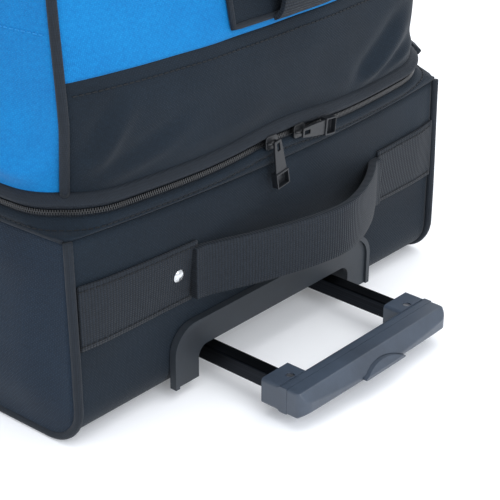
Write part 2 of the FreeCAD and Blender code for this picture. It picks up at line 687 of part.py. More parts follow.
strap_low, strap_high = size("strap_low"), size("strap_high")
strip_span = (strap_low, strap_high)
haul_strip = group("haul_strip",
                   soft("strip_near", skin(walls, "front", 0.1, 2.0, (-width + 8, -95), strip_span)),
                   soft("strip_far", skin(walls, "front", 0.1, 2.0, (118, width - 8), strip_span)))
haul_low, haul_high, haul_thick = size("haul_low"), size("haul_high"), size("haul_thick")
haul_bow = [(length + rise, across) for rise, across in (
    (17, -70), (29.5, -38), (37.5, -12), (41.5, 12), (41.5, 34), (36, 56), (26.5, 78), (16.5, 95))]
haul_path = [(front_at(walls, -98, 118) + 6.2, -98), (front_at(walls, -88, 118) + 6.4, -88), *haul_bow,
             (front_at(walls, 106, 118) + 4.8, 106), (front_at(walls, 115, 118) + 4.2, 115)]
haul_handle = soft("haul_handle", strap(haul_path, haul_thick, "z", haul_low, haul_high))
rivet_y, rivet_z, rivet_ball = -109, 101.6, 7.2
rivet_x = front_at(walls, rivet_y, rivet_z) + 2.8
dome = Part.makeSphere(rivet_ball, Vector(rivet_x - 3.9, rivet_y, rivet_z))
haul_rivet = soft("haul_rivet", dome.common(region((rivet_x, rivet_x + 20), (-400, 400), (0, 400))))

# ---- compartment zip sliders ----------------------------------------------

zip_half = zip_levels[0][2]
zip_arc = (zip_half ** 2 + end_bow ** 2) / (2 * end_bow)
zip_centre = zip_levels[0][1] + end_bow - zip_arc


def slider_shapes(y, lying):
    """Slider body and its pull, for a slider at one place on the end run."""
    angle = math.asin(y / zip_arc)
    x = zip_centre + zip_arc
    plate = region((x + 0.2, x + 1.8), (-6, 6), (zip_line - 5, zip_line + 5))
    plate = plate.makeFillet(2.5, [edge for edge in plate.Edges if along("x")(edge)])
    crown = region((x + 1.8, x + 4.6), (-5, 5), (zip_line - 1.2, zip_line + 1.2))
    window = region((x + 1.9, x + 3.5), (-3.4, 3.4), (zip_line - 3, zip_line + 3))
    body = plate.fuse(crown.cut(window)).removeSplitter()
    outline = region((x + 5.0, x + 7.0), (-5.6, 5.6), (zip_line - 34, zip_line + 3.5))
    outline = outline.makeFillet(2.2, [edge for edge in outline.Edges if along("x")(edge)])
    loop_hole = region((x, x + 10), (-3.4, 3.4), (zip_line - 31, zip_line - 22))
    ring_hole = region((x, x + 10), (-2.4, 2.4), (zip_line - 9, zip_line + 1.2))
    pull = outline.cut(loop_hole).cut(ring_hole)
    if lying:
        pull.rotate(Vector(x, 0, zip_line), Vector(1, 0, 0), 84)
    turn = math.degrees(angle)
    for shape in (body, pull):
        shape.rotate(Vector(zip_centre, 0, zip_line), Vector(0, 0, 1), turn)
    return body, pull


near_body, near_pull = slider_shapes(-22, False)
far_body, far_pull = slider_shapes(8, True)
zip_slider_near = soft("zip_slider_near", near_body)
zip_pull_near = soft("zip_pull_near", near_pull)
zip_slider_far = soft("zip_slider_far", far_body)
zip_pull_far = soft("zip_pull_far", far_pull)

# ---- upper compartment ----------------------------------------------------

panel_levels = upper_levels[1:]
upper_middle = bowed(panel_levels, 0, -wall + 1, open_x=True)
upper_whole = bowed(panel_levels)
upper_hollow = bowed(panel_levels, -cloth, 0, open_y=True)
upper_near = upper_whole.cut(upper_middle).common(region((-500, 500), (-400, 0), (0, 600)))
upper_core = upper_whole.common(upper_middle).cut(upper_hollow)
front_half = region((0, 500), (-400, 400), (0, 600))
rear_half = region((-500, 0), (-400, 400), (0, 600))
below_band = region((-500, 500), (-400, 400), (0, band))
above_band = region((-500, 500), (-400, 400), (band, 600))

upper_side_panel_near = soft("upper_side_panel_near", upper_near)
upper_side_panel_far = mirrored("upper_side_panel_far", upper_side_panel_near)
upper_front_band = soft("upper_front_band", upper_core.common(front_half).common(below_band))
upper_front_panel = soft("upper_front_panel", upper_core.common(front_half).common(above_band))
upper_rear_panel = soft("upper_rear_panel", upper_core.common(rear_half))
upper_zip_teeth = soft("upper_zip_teeth", ring(upper_teeth_levels, -3.0, -0.6).cut(rear_gap))
upper_zip_binding = soft("upper_zip_binding", ring(upper_levels[:2], -4.0, 0.0))
upper_hinge_tape = soft("upper_hinge_tape", skin(
    [(zip_line + 0.3,) + zip_levels[0][1:], (zip_line + 3.6,) + zip_levels[0][1:]] + upper_levels[1:2],
    "rear", 0.0, 1.2, hinge_across, (zip_line + 0.3, zip_line + 10.4)))
divider_panel = soft("divider_panel", bowed(
    [(zip_line + 3.6,) + upper_levels[1][1:], (zip_line + 7.6,) + upper_levels[1][1:]], -6, -6))

cups = [rod("cup_blank_%d" % side, "z", "8", ("%d * ball_place" % side, "0"), ("zip_level", "zip_level + 80"))
        for side in (-1, 1)]
balls = []
for side in (-1, 1):
    ball = doc.addObject("Part::Sphere", "cup_ball_%d" % (side + 2))
    bind(ball, "Radius", "ball_radius")
    bind(ball, "Placement.Base.x", "%d * ball_place" % side)
    bind(ball, "Placement.Base.z", "zip_level + 14 + ball_radius")
    balls.append(ball)
ball_cradle = cut("ball_cradle", soften("cradle_soft", block("cradle_blank", ("-238", "238"), ("-125", "125"),
                  ("zip_level + 7.7", "zip_level + 60")), 12.0, along("z")), *(balls + cups))


def upper_cord(side, end):
    points = []
    top = (rim - 7.4,) + tuple(wall_at(panel_levels, rim - 7.4))
    for z, half_x, half_y, bow_x, bow_y in panel_levels[:-1] + [top]:
        points.append(Vector(end * (half_x + 1.2), side * (half_y + 1.2), z))
    return round_post(points, cord - 0.4)


upper_solid = soft("upper_solid", upper_whole)
upper_piping_near = cut("upper_piping_near", group("upper_cords", soft("upper_cord_front", upper_cord(-1, 1)),
                        soft("upper_cord_rear", upper_cord(-1, -1))), upper_solid)
upper_piping_far = mirrored("upper_piping_far", upper_piping_near)

rim_levels = [(rim - 10,) + tuple(wall_at(upper_levels, rim - 10)), upper_levels[-1]]
top_frame = soft("top_frame", ring(rim_levels, -11, -4.6))

end_patch = soft("end_patch", skin(panel_levels, "front", 0.1, 2.6, (-55, 55), (band + 13, rim - 12)))
loop_path = []
for rise, stand in ((24, 0), (32, 0.6), (44, 8), (62, 20), (80, 24), (98, 17),
                    (112, 6), (122, 0.8), (130, 0)):
    loop_path.append((front_at(upper_levels, 0, band + rise) + 5.2 + stand, band + rise))
end_grab_loop = soft("end_grab_loop", strap(loop_path, 4.0, "y", -22, 22))

side_x = length - 26
side_y = wall_at(upper_levels, zip_line + 8)
tab_y = side_y[1] + side_y[3] * (1 - (side_x / side_y[0]) ** 2)
side_tab = soft("side_tab", region((side_x - 9, side_x + 9), (tab_y + 2.6, tab_y + 7.5),
                                   (zip_line + 4, zip_line + 18)))
side_tab = soften("side_tab_soft", side_tab, 2.0, along("x"))
side_tab.Label = "side_tab"

# ---- carry handles --------------------------------------------------------

handle_half = size("handle_half")
handle_y = wall_at(upper_levels, 400)[1] + wall_at(upper_levels, 400)[3] + 6
handle_top = rim - 16
handle_path = [(-handle_half, handle_top), (-handle_half + 3, handle_top - 22),
               (-handle_half + 16, handle_top - 58), (-handle_half + 45, handle_top - 90),
               (0, handle_top - 101), (handle_half - 45, handle_top - 90),
               (handle_half - 16, handle_top - 58), (handle_half - 3, handle_top - 22),
               (handle_half, handle_top)]
near_handle = strap(handle_path, 30, "y", -handle_y - 9.5, -handle_y - 3.5)
carry_handle_near = soft("carry_handle_near", near_handle)
carry_handle_far = mirrored("carry_handle_far", carry_handle_near)

# ---- top lid --------------------------------------------------------------

lid_block = soft("lid_block", bowed(lid_levels))
lid_top = rim + size("lid_height")
lid_outer = soften("lid_outer", lid_block, 7.0, lambda edge: edge.BoundBox.ZMin > lid_top - 0.1)
lid_inside = [(rim - 2,) + lid_levels[0][1:], (lid_top - 5,) + lid_levels[1][1:]]
lid_room = soft("lid_room", bowed(lid_inside, -6, -6))
top_lid = cut("top_lid", lid_outer, lid_room)
lid_zip_levels = [(rim - 7,) + tuple(wall_at(upper_levels, rim - 7)), (rim - 0.3,) + upper_levels[-1][1:]]
lid_zip = soft("lid_zip", ring(lid_zip_levels, 0.05, 1.5).cut(
    region((-500, -length + 40), (-400, 400), (0, 600))))

# ---- hand over ------------------------------------------------------------

nodes = {
    "lower_side_panel_near": lower_side_panel_near,
    "lower_side_panel_far": lower_side_panel_far,
    "lower_gusset": lower_gusset,
    "lower_piping_near": lower_piping_near,
    "lower_piping_far": lower_piping_far,
    "lower_zip_facing": lower_zip_facing,
    "lower_zip_teeth": lower_zip_teeth,
    "lower_hinge_tape": lower_hinge_tape,
    "base_board": base_board,
    "undertray": undertray,
    "handle_housing": handle_housing,
    "outer_sleeves": outer_sleeves,
    "sleeve_collars": sleeve_collars,
    "wheel_housing_near": wheel_housing_near,
    "wheel_housing_far": wheel_housing_far,
    "axle_near": axle_near,
    "axle_far": axle_far,
    "haul_strip": haul_strip,
    "haul_handle": haul_handle,
    "haul_rivet": haul_rivet,
    "tyre_near": tyre_near,
    "tyre_far": tyre_far,
    "hub_near": hub_near,
    "hub_far": hub_far,
    "wheel_bearing_near": wheel_bearing_near,
    "wheel_bearing_far": wheel_bearing_far,
    "inner_tubes": inner_tubes,
    "tube_feet": tube_feet,
    "grip_back_shell": grip_back_shell,
    "grip_front_shell": grip_front_shell,
    "grip_screws": grip_screws,
    "grip_button": grip_button,
    "release_bar": release_bar,
    "release_rods": release_rods,
    "lock_pin_near": lock_pin_near,
    "lock_pin_far": lock_pin_far,
    "zip_slider_near": zip_slider_near,
    "zip_slider_far": zip_slider_far,
    "zip_pull_near": zip_pull_near,
    "zip_pull_far": zip_pull_far,
    "upper_side_panel_near": upper_side_panel_near,
    "upper_side_panel_far": upper_side_panel_far,
    "upper_front_band": upper_front_band,
    "upper_front_panel": upper_front_panel,
    "upper_rear_panel": upper_rear_panel,
    "upper_zip_teeth": upper_zip_teeth,
    "upper_zip_binding": upper_zip_binding,
    "upper_hinge_tape": upper_hinge_tape,
    "divider_panel": divider_panel,
    "ball_cradle": ball_cradle,
    "upper_piping_near": upper_piping_near,
    "upper_piping_far": upper_piping_far,
    "top_frame": top_frame,
    "end_patch": end_patch,
    "end_grab_loop": end_grab_loop,
    "side_tab": side_tab,
    "carry_handle_near": carry_handle_near,
    "carry_handle_far": carry_handle_far,
    "top_lid": top_lid,
    "lid_zip": lid_zip,
}

doc.recompute()
problems = []
for thing in doc.Objects:
    if "Invalid" in thing.State or "Error" in thing.State:
        problems.append("%s is %s" % (thing.Label, thing.State))
for node, thing in nodes.items():
    shape = thing.Shape
    if shape.isNull() or not shape.isValid() or not shape.Solids:
        problems.append(node + " has a bad shape")
if problems:
    raise RuntimeError("; ".join(problems))

os.makedirs("parts", exist_ok=True)
for node, thing in nodes.items():
    thing.Label = node
    thing.Shape.exportStep("parts/%s.step" % node)
print("exported", len(nodes), "parts")
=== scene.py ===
import bpy
import bmesh
import json
import math
from mathutils import Matrix, Vector, noise


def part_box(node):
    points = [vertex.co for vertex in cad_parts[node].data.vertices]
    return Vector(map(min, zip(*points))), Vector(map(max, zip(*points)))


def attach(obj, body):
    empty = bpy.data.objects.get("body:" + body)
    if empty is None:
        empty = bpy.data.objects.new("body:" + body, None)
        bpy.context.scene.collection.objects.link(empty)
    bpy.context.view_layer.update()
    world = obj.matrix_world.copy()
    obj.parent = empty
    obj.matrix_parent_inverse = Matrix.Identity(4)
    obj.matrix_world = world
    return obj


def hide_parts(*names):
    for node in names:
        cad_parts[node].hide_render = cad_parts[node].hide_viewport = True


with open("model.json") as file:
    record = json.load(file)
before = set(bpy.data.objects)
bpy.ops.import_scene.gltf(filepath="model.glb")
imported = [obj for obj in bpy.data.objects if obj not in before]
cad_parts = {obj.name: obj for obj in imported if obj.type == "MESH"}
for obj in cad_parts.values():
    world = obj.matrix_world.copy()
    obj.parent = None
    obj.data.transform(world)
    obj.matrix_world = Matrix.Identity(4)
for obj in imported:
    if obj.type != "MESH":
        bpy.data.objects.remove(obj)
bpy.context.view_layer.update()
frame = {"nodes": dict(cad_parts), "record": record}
nodes = frame["nodes"]
print("frame loaded with", len(nodes), "pieces")


# ---- colour, nodes and finishes ----

def srgb(code, alpha=1.0):
    channels = []
    for start in (1, 3, 5):
        value = int(code[start:start + 2], 16) / 255
        channels.append(value / 12.92 if value <= 0.04045 else ((value + 0.055) / 1.055) ** 2.4)
    return (*channels, alpha)


def addNode(tree, kind, settings=None, inputs=None):
    node = tree.nodes.new(kind)
    for name, value in (settings or {}).items():
        setattr(node, name, value)
    for name, value in (inputs or {}).items():
        socket = node.inputs[name]
        if isinstance(value, bpy.types.NodeSocket):
            tree.links.new(value, socket)
        else:
            socket.default_value = value
    return node


def newFinish(name, **shader):
    finish = bpy.data.materials.new(name)
    finish.use_nodes = True
    tree = finish.node_tree
    tree.nodes.clear()
    surface = addNode(tree, "ShaderNodeBsdfPrincipled", inputs=shader)
    addNode(tree, "ShaderNodeOutputMaterial", inputs={"Surface": surface.outputs[0]})
    return finish, tree, surface


def colourRamp(tree, amount, stops):
    ramp = addNode(tree, "ShaderNodeValToRGB", inputs={"Fac": amount})
    ramp.color_ramp.elements[0].position = stops[0][0]
    ramp.color_ramp.elements[0].color = srgb(stops[0][1])
    ramp.color_ramp.elements[1].position = stops[-1][0]
    ramp.color_ramp.elements[1].color = srgb(stops[-1][1])
    for place, code in stops[1:-1]:
        ramp.color_ramp.elements.new(place).color = srgb(code)
    return ramp.outputs["Color"]


def sums(tree, operation, first, second=0.0, third=0.0):
    node = addNode(tree, "ShaderNodeMath", {"operation": operation}, {0: first, 1: second, 2: third})
    return node.outputs[0]


def wovenPolyester(name, dark, middle, light, thread, depth, roughness, sheen):
    # plain weave: warp and weft go over each other in turn, so the surface is a field of small pillows
    finish, tree, surface = newFinish(name, **{"Roughness": roughness, "IOR": 1.5, "Sheen Weight": sheen,
                                              "Sheen Roughness": 0.45, "Specular IOR Level": 0.18})
    place = addNode(tree, "ShaderNodeUVMap", {"uv_map": "cloth"}).outputs[0]
    split = addNode(tree, "ShaderNodeSeparateXYZ", inputs={0: place})
    warp = sums(tree, "SINE", sums(tree, "MULTIPLY", split.outputs[0], math.pi / thread))
    weft = sums(tree, "SINE", sums(tree, "MULTIPLY", split.outputs[1], math.pi / thread))
    over = sums(tree, "MULTIPLY", warp, weft)
    height = sums(tree, "ADD", sums(tree, "MULTIPLY", over, over), sums(tree, "MULTIPLY", over, 0.35))
    cloudy = addNode(tree, "ShaderNodeTexNoise", inputs={"Vector": place, "Scale": 11.0, "Detail": 4.0,
                                                         "Roughness": 0.55})
    slubs = addNode(tree, "ShaderNodeTexNoise", inputs={"Vector": place, "Scale": 420.0, "Detail": 2.0})
    shade = sums(tree, "ADD", sums(tree, "MULTIPLY", cloudy.outputs[0], 0.5),
                 sums(tree, "MULTIPLY", slubs.outputs[0], 0.34))
    # the raised threads are painted lighter and the hollows between them darker: painted shade in the weave, added
    # to the random tone
    shade = sums(tree, "ADD", shade, sums(tree, "MULTIPLY", height, 0.12))
    colour = colourRamp(tree, shade, [(0.25, dark), (0.5, middle), (0.75, light)])
    tree.links.new(colour, surface.inputs["Base Color"])
    both = sums(tree, "ADD", height, sums(tree, "MULTIPLY", slubs.outputs[0], 0.8))
    bump = addNode(tree, "ShaderNodeBump", inputs={"Strength": 0.55, "Distance": depth, "Height": both})
    tree.links.new(bump.outputs[0], surface.inputs["Normal"])
    return finish


def ribbedWebbing(name, dark, light, rib, depth):
    # nylon tape: ribs run across its width, with a fine second rib between them
    finish, tree, surface = newFinish(name, **{"Roughness": 0.72, "IOR": 1.53, "Sheen Weight": 0.05,
                                              "Sheen Roughness": 0.4, "Specular IOR Level": 0.25})
    place = addNode(tree, "ShaderNodeUVMap", {"uv_map": "cloth"}).outputs[0]
    split = addNode(tree, "ShaderNodeSeparateXYZ", inputs={0: place})
    along = sums(tree, "ABSOLUTE", sums(tree, "SINE", sums(tree, "MULTIPLY", split.outputs[0], math.pi / rib)))
    across = sums(tree, "SINE", sums(tree, "MULTIPLY", split.outputs[1], 2 * math.pi / 0.0016))
    height = sums(tree, "ADD", along, sums(tree, "MULTIPLY", across, 0.22))
    fuzz = addNode(tree, "ShaderNodeTexNoise", inputs={"Vector": place, "Scale": 260.0, "Detail": 3.0})
    # rib tops are painted lighter and the grooves between them darker: painted shade, mixed with the random fuzz
    # tone
    shade = sums(tree, "ADD", sums(tree, "MULTIPLY", height, 0.42), sums(tree, "MULTIPLY", fuzz.outputs[0], 0.5))
    tree.links.new(colourRamp(tree, shade, [(0.2, dark), (0.85, light)]), surface.inputs["Base Color"])
    bump = addNode(tree, "ShaderNodeBump", inputs={"Strength": 0.8, "Distance": depth, "Height": height})
    tree.links.new(bump.outputs[0], surface.inputs["Normal"])
    return finish


def mouldedPlastic(name, dark, light, roughness, grain, depth, coat=0.0):
    # ABS or polypropylene from a spark-eroded mould: a fine even grain that softens the highlight
    finish, tree, surface = newFinish(name, **{"Roughness": roughness, "IOR": 1.5, "Coat Weight": coat,
                                              "Coat Roughness": 0.25})
    place = addNode(tree, "ShaderNodeTexCoord").outputs["Object"]
    grit = addNode(tree, "ShaderNodeTexVoronoi", inputs={"Vector": place, "Scale": 1 / grain})
    cloudy = addNode(tree, "ShaderNodeTexNoise", inputs={"Vector": place, "Scale": 24.0, "Detail": 5.0})
    scuffs = addNode(tree, "ShaderNodeTexNoise", inputs={"Vector": place, "Scale": 190.0, "Detail": 6.0,
                                                         "Roughness": 0.7})
    shade = sums(tree, "ADD", sums(tree, "MULTIPLY", cloudy.outputs[0], 0.7),
                 sums(tree, "MULTIPLY", scuffs.outputs[0], 0.3))
    tree.links.new(colourRamp(tree, shade, [(0.3, dark), (0.7, light)]), surface.inputs["Base Color"])
    rough = sums(tree, "ADD", sums(tree, "MULTIPLY", scuffs.outputs[0], 0.16), roughness - 0.08)
    tree.links.new(rough, surface.inputs["Roughness"])
    bump = addNode(tree, "ShaderNodeBump", inputs={"Strength": 0.5, "Distance": depth,
                                                   "Height": grit.outputs["Distance"]})
    tree.links.new(bump.outputs[0], surface.inputs["Normal"])
    return finish


def drawnMetal(name, dark, light, roughness, streak):
    # drawn or turned metal: long fine streaks along X in colour and gloss
    finish, tree, surface = newFinish(name, **{"Metallic": 1.0, "Roughness": roughness})
    place = addNode(tree, "ShaderNodeTexCoord").outputs["Object"]
    stretch = addNode(tree, "ShaderNodeMapping", inputs={"Vector": place, "Scale": (6.0, 1 / streak, 1 / streak)})
    lines = addNode(tree, "ShaderNodeTexNoise", inputs={"Vector": stretch.outputs[0], "Scale": 1.0, "Detail": 3.0})
    tree.links.new(colourRamp(tree, lines.outputs[0], [(0.3, dark), (0.7, light)]), surface.inputs["Base Color"])
    rough = sums(tree, "ADD", sums(tree, "MULTIPLY", lines.outputs[0], 0.2), roughness - 0.1)
    tree.links.new(rough, surface.inputs["Roughness"])
    bump = addNode(tree, "ShaderNodeBump", inputs={"Strength": 0.25, "Distance": 0.00005,
                                                   "Height": lines.outputs[0]})
    tree.links.new(bump.outputs[0], surface.inputs["Normal"])
    return finish


def treadRubber(name):
    # solid rubber wheel: matt, with fine dust in the pores and worn paler patches
    finish, tree, surface = newFinish(name, **{"Roughness": 0.82, "IOR": 1.52, "Specular IOR Level": 0.3})
    place = addNode(tree, "ShaderNodeTexCoord").outputs["Object"]
    dust = addNode(tree, "ShaderNodeTexNoise", inputs={"Vector": place, "Scale": 160.0, "Detail": 8.0,
                                                       "Roughness": 0.7})
    tree.links.new(colourRamp(tree, dust.outputs[0], [(0.35, "#1a1b1d"), (0.7, "#34353a")]),
                   surface.inputs["Base Color"])
    bump = addNode(tree, "ShaderNodeBump", inputs={"Strength": 0.6, "Distance": 0.0002, "Height": dust.outputs[0]})
    tree.links.new(bump.outputs[0], surface.inputs["Normal"])
    return finish


def openFoam(name):
    # dense foam: open cells about 1 mm across, matt, with painted shade darkening the hollow of each cell
    finish, tree, surface = newFinish(name, **{"Roughness": 0.95, "IOR": 1.45, "Specular IOR Level": 0.15})
    place = addNode(tree, "ShaderNodeTexCoord").outputs["Object"]
    cells = addNode(tree, "ShaderNodeTexVoronoi", inputs={"Vector": place, "Scale": 900.0})
    tree.links.new(colourRamp(tree, cells.outputs["Distance"], [(0.1, "#2c2e31"), (0.8, "#4a4d52")]),
                   surface.inputs["Base Color"])
    bump = addNode(tree, "ShaderNodeBump", inputs={"Strength": 0.7, "Distance": 0.0005,
                                                   "Height": cells.outputs["Distance"]})
    tree.links.new(bump.outputs[0], surface.inputs["Normal"])
    return finish


# thread pitch is about 0.6 mm on this cloth; it is drawn at 1.2 mm so that it shows
finishes = {
    "fabric_black": wovenPolyester("wovenPolyesterCharcoal", "#0b131b", "#111c26", "#1a2733",
                                   0.0012, 0.0003, 0.78, 0.06),
    "fabric_side": wovenPolyester("wovenPolyesterSlate", "#0e1824", "#152331", "#1e3042",
                                  0.0014, 0.00035, 0.78, 0.07),
    "fabric_blue": wovenPolyester("wovenPolyesterBlue", "#055c99", "#0770ad", "#1685c0",
                                  0.0012, 0.0003, 0.74, 0.03),
    "webbing_black": ribbedWebbing("ribbedNylonWebbing", "#0d1218", "#1a222b", 0.0024, 0.0005),
    "binding": ribbedWebbing("grosgrainBinding", "#0d131a", "#1a222b", 0.0011, 0.0002),
    "piping_black": mouldedPlastic("vinylPiping", "#14171b", "#1e2227", 0.5, 0.0008, 0.00006, 0.1),
    "zip_black": mouldedPlastic("acetalZipTeeth", "#07080a", "#0f1114", 0.42, 0.0006, 0.00003, 0.2),
    "zip_metal": mouldedPlastic("blackEnamelledZinc", "#07090c", "#10141a", 0.46, 0.0015, 0.00003, 0.1),
    "plastic_black": mouldedPlastic("grainedPolypropylene", "#1d2126", "#293037", 0.55, 0.0007, 0.00008),
    "grip_plastic": mouldedPlastic("satinGripPlastic", "#2b333e", "#3a4553", 0.4, 0.0007, 0.00005, 0.2),
    "tube_black": drawnMetal("anodisedTubeBlack", "#121418", "#23272d", 0.4, 0.0006),
    "steel": drawnMetal("zincPlatedSteel", "#8d9096", "#c4c6ca", 0.35, 0.0008),
    "rivet_metal": drawnMetal("polishedNickel", "#b9bcc0", "#eceded", 0.22, 0.001),
    "tyre_rubber": treadRubber("solidTyreRubber"),
    "hub_plastic": mouldedPlastic("glassFilledNylonHub", "#3e4148", "#565a62", 0.5, 0.0009, 0.00008),
    "foam": openFoam("openCellFoam"),
    "board": mouldedPlastic("stiffPolyBoard", "#1e2023", "#2e3135", 0.62, 0.0012, 0.00012),
}
# sewing thread: twisted polyester, a little shinier than the cloth it holds
threadFinish = ribbedWebbing("twistedThreadBlack", "#0a0d10", "#171b20", 0.0007, 0.0001)
threadBlue = ribbedWebbing("twistedThreadBlue", "#0c6fae", "#1b86c6", 0.0007, 0.0001)

slotOf = {entry["node"]: entry["material_slot"] for entry in frame["record"]["subparts"]}
for nodeName, piece in nodes.items():
    piece.data.materials.clear()
    piece.data.materials.append(finishes[slotOf[nodeName]])
print("finishes made")


# ---- making pieces ----

def boxUv(bm, turned=False):
    # each face takes the two row axes that it faces least, in metres, so the weave keeps its real size
    layer = bm.loops.layers.uv.new("cloth")
    for face in bm.faces:
        normal = face.normal
        size = [abs(value) for value in normal]
        main = size.index(max(size))
        first, second = {0: (1, 2), 1: (0, 2), 2: (0, 1)}[main]
        if turned:
            first, second = second, first
        for loop in face.loops:
            loop[layer].uv = (loop.vert.co[first], loop.vert.co[second])


def finishPiece(name, bm, finish, body, replaced=(), smooth=True, uv=True, turned=False, outward=True):
    if outward:
        bmesh.ops.recalc_face_normals(bm, faces=bm.faces[:])
    bm.normal_update()
    if uv and "cloth" not in bm.loops.layers.uv:
        boxUv(bm, turned)
    mesh = bpy.data.meshes.new(name)
    for face in bm.faces:
        face.smooth = smooth
    bm.to_mesh(mesh)
    bm.free()
    piece = bpy.data.objects.new(name, mesh)
    bpy.context.scene.collection.objects.link(piece)
    mesh.materials.append(finish)
    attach(piece, body)
    if replaced:
        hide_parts(*replaced)
    return piece


def addThickness(piece, thick, offset=-1.0, even=True):
    wall = piece.modifiers.new("Thickness", "SOLIDIFY")
    wall.thickness = thick
    wall.offset = offset
    wall.use_even_offset = even
    return piece


def addRounding(piece, levels=1):
    rounding = piece.modifiers.new("Rounding", "SUBSURF")
    rounding.levels = levels
    rounding.render_levels = levels
    return piece


def addBevel(piece, width, segments=2, angle=35):
    edge = piece.modifiers.new("Edges", "BEVEL")
    edge.width = width
    edge.segments = segments
    edge.limit_method = "ANGLE"
    edge.angle_limit = math.radians(angle)
    return piece


def gridPatch(columns, rows, place):
    # a flat grid of the unit square, then every vertex put in place from its (u, v)
    bm = bmesh.new()
    bmesh.ops.create_grid(bm, x_segments=columns, y_segments=rows, size=0.5)
    for vert in bm.verts:
        vert.co = place(vert.co.x + 0.5, vert.co.y + 0.5)
    return bm


def tubeAlong(name, points, radius, finish, body, replaced=(), closed=False, sides=10):
    # a round cord: a ring swept along the points
    bm = bmesh.new()
    rings = []
    count = len(points)
    for number, point in enumerate(points):
        before = points[(number - 1) % count] if closed or number else points[0]
        after = points[(number + 1) % count] if closed or number < count - 1 else points[-1]
        heading = (Vector(after) - Vector(before)).normalized()
        turn = heading.to_track_quat("Z", "Y").to_matrix().to_4x4()
        made = bmesh.ops.create_circle(bm, segments=sides, radius=radius,
                                       matrix=Matrix.Translation(point) @ turn)["verts"]
        rings.append([edge for edge in {edge for vert in made for edge in vert.link_edges}])
    for first, second in zip(rings, rings[1:] + (rings[:1] if closed else [])):
        bmesh.ops.bridge_loops(bm, edges=first + second)
    if not closed:
        bmesh.ops.holes_fill(bm, edges=[edge for edge in bm.edges if edge.is_boundary])
    return finishPiece(name, bm, finish, body, replaced)


def smoothStep(value):
    value = min(max(value, 0.0), 1.0)
    return value * value * (3 - 2 * value)


def ripple(x, y, z, scale, seed=0.0):
    return noise.noise(Vector((x * scale + seed, y * scale + seed * 0.7, z * scale - seed)))


def stitchRow(name, points, normals, finish, body, stitch=0.0032, gap=0.0014, thick=0.0007):
    # one small rounded bar for each stitch, laid along a run of points
    bm = bmesh.new()
    travelled, nextStart = 0.0, 0.0
    for first, second, normal in zip(points[:-1], points[1:], normals):
        first, second = Vector(first), Vector(second)
        span = (second - first).length
        if span < 1e-6:
            continue
        heading = (second - first) / span
        while nextStart + stitch / 2 < travelled + span:
            centre = first + heading * (nextStart + stitch / 2 - travelled)
            side = heading.cross(Vector(normal)).normalized()
            turn = Matrix((heading, side, Vector(normal))).transposed().to_4x4()
            scale = Matrix.Diagonal((stitch, thick, thick, 1.0))
            bmesh.ops.create_cube(bm, size=1.0, matrix=Matrix.Translation(centre) @ turn @ scale)
            nextStart += stitch + gap
        travelled += span
    return finishPiece(name, bm, finish, body, smooth=False, outward=False)


# ---- the walls of the bag: height, half length, half width, bow of ends, bow of sides ----
lowerLevels = [(0.004, 0.300, 0.205, 0.0, 0.0), (0.058, 0.300, 0.205, 0.0, 0.0),
               (0.157, 0.298, 0.203, 0.014, 0.010), (0.1728, 0.298, 0.203, 0.016, 0.011)]
upperLevels = [(0.1796, 0.298, 0.203, 0.016, 0.011), (0.1865, 0.292, 0.199, 0.017, 0.011),
               (0.236, 0.298, 0.199, 0.014, 0.010), (0.321, 0.288, 0.195, 0.012, 0.009),
               (0.412, 0.280, 0.190, 0.008, 0.006)]


def wallAt(levels, z):
    if z <= levels[0][0]:
        return levels[0][1:]
    for low, high in zip(levels[:-1], levels[1:]):
        if z <= high[0]:
            part = smoothStep((z - low[0]) / (high[0] - low[0])) * 0.5 + 0.5 * (z - low[0]) / (high[0] - low[0])
            return tuple(a + (b - a) * part for a, b in zip(low[1:], high[1:]))
    return levels[-1][1:]


def frontX(levels, y, z):
    halfX, halfY, bowX, bowY = wallAt(levels, z)
    return halfX + bowX * (1 - (y / halfY) ** 2)


def sideY(levels, x, z):
    halfX, halfY, bowX, bowY = wallAt(levels, z)
    return halfY + bowY * (1 - (x / halfX) ** 2)


def cornerRound(upper, z, corner):
    # plan radius of the four upright corners: front near, front far, rear far, rear near
    if not upper:
        return 0.004 + (0.041 if corner < 2 else 0.020) * smoothStep((z - 0.157) / 0.014)
    low = 0.045 if corner < 2 else 0.024
    if corner == 1:
        return low + (0.070 - low) * smoothStep((z - 0.186) / 0.03) - 0.042 * smoothStep((z - 0.29) / 0.11)
    return low + (0.008 - low) * smoothStep((z - 0.182) / 0.062)


def sideSpot(shape, side, along):
    halfX, halfY, bowX, bowY = shape
    if side in (0, 2):
        sign = 1 if side == 0 else -1
        return Vector((sign * (halfX + bowX * (1 - (along / halfY) ** 2)), sign * along, 0)), Vector((sign, 0, 0))
    sign = 1 if side == 1 else -1
    return Vector((-sign * along, sign * (halfY + bowY * (1 - (along / halfX) ** 2)), 0)), Vector((0, sign, 0))


def planPoint(upper, z, turn, grow=0.0, level=None):
    # a place on the bag's outline: 0 to 4 once round, whole numbers on the corners
    shape = wallAt(upperLevels if upper else lowerLevels, z if level is None else level)
    side = int(turn) % 4
    half = shape[1] if side in (0, 2) else shape[0]
    along = (2 * (turn - int(turn)) - 1) * half
    inset, lean = 0.0, 0.0
    for corner, sign in ((side, -1), ((side + 1) % 4, 1)):
        radius = cornerRound(upper, z if level is None else level, corner)
        reach = half - sign * along
        if reach < radius:
            angle = math.pi / 4 * (1 - reach / radius)
            along = sign * (half - radius + radius * math.sin(angle))
            inset = radius * (1 - math.cos(angle))
            lean = sign * angle
            break
    spot, outward = sideSpot(shape, side, along)
    tangent = Vector((-outward.y, outward.x, 0))
    normal = outward * math.cos(lean) + tangent * math.sin(lean)
    spot = spot - outward * inset + normal * grow
    spot.z = z
    return spot, normal


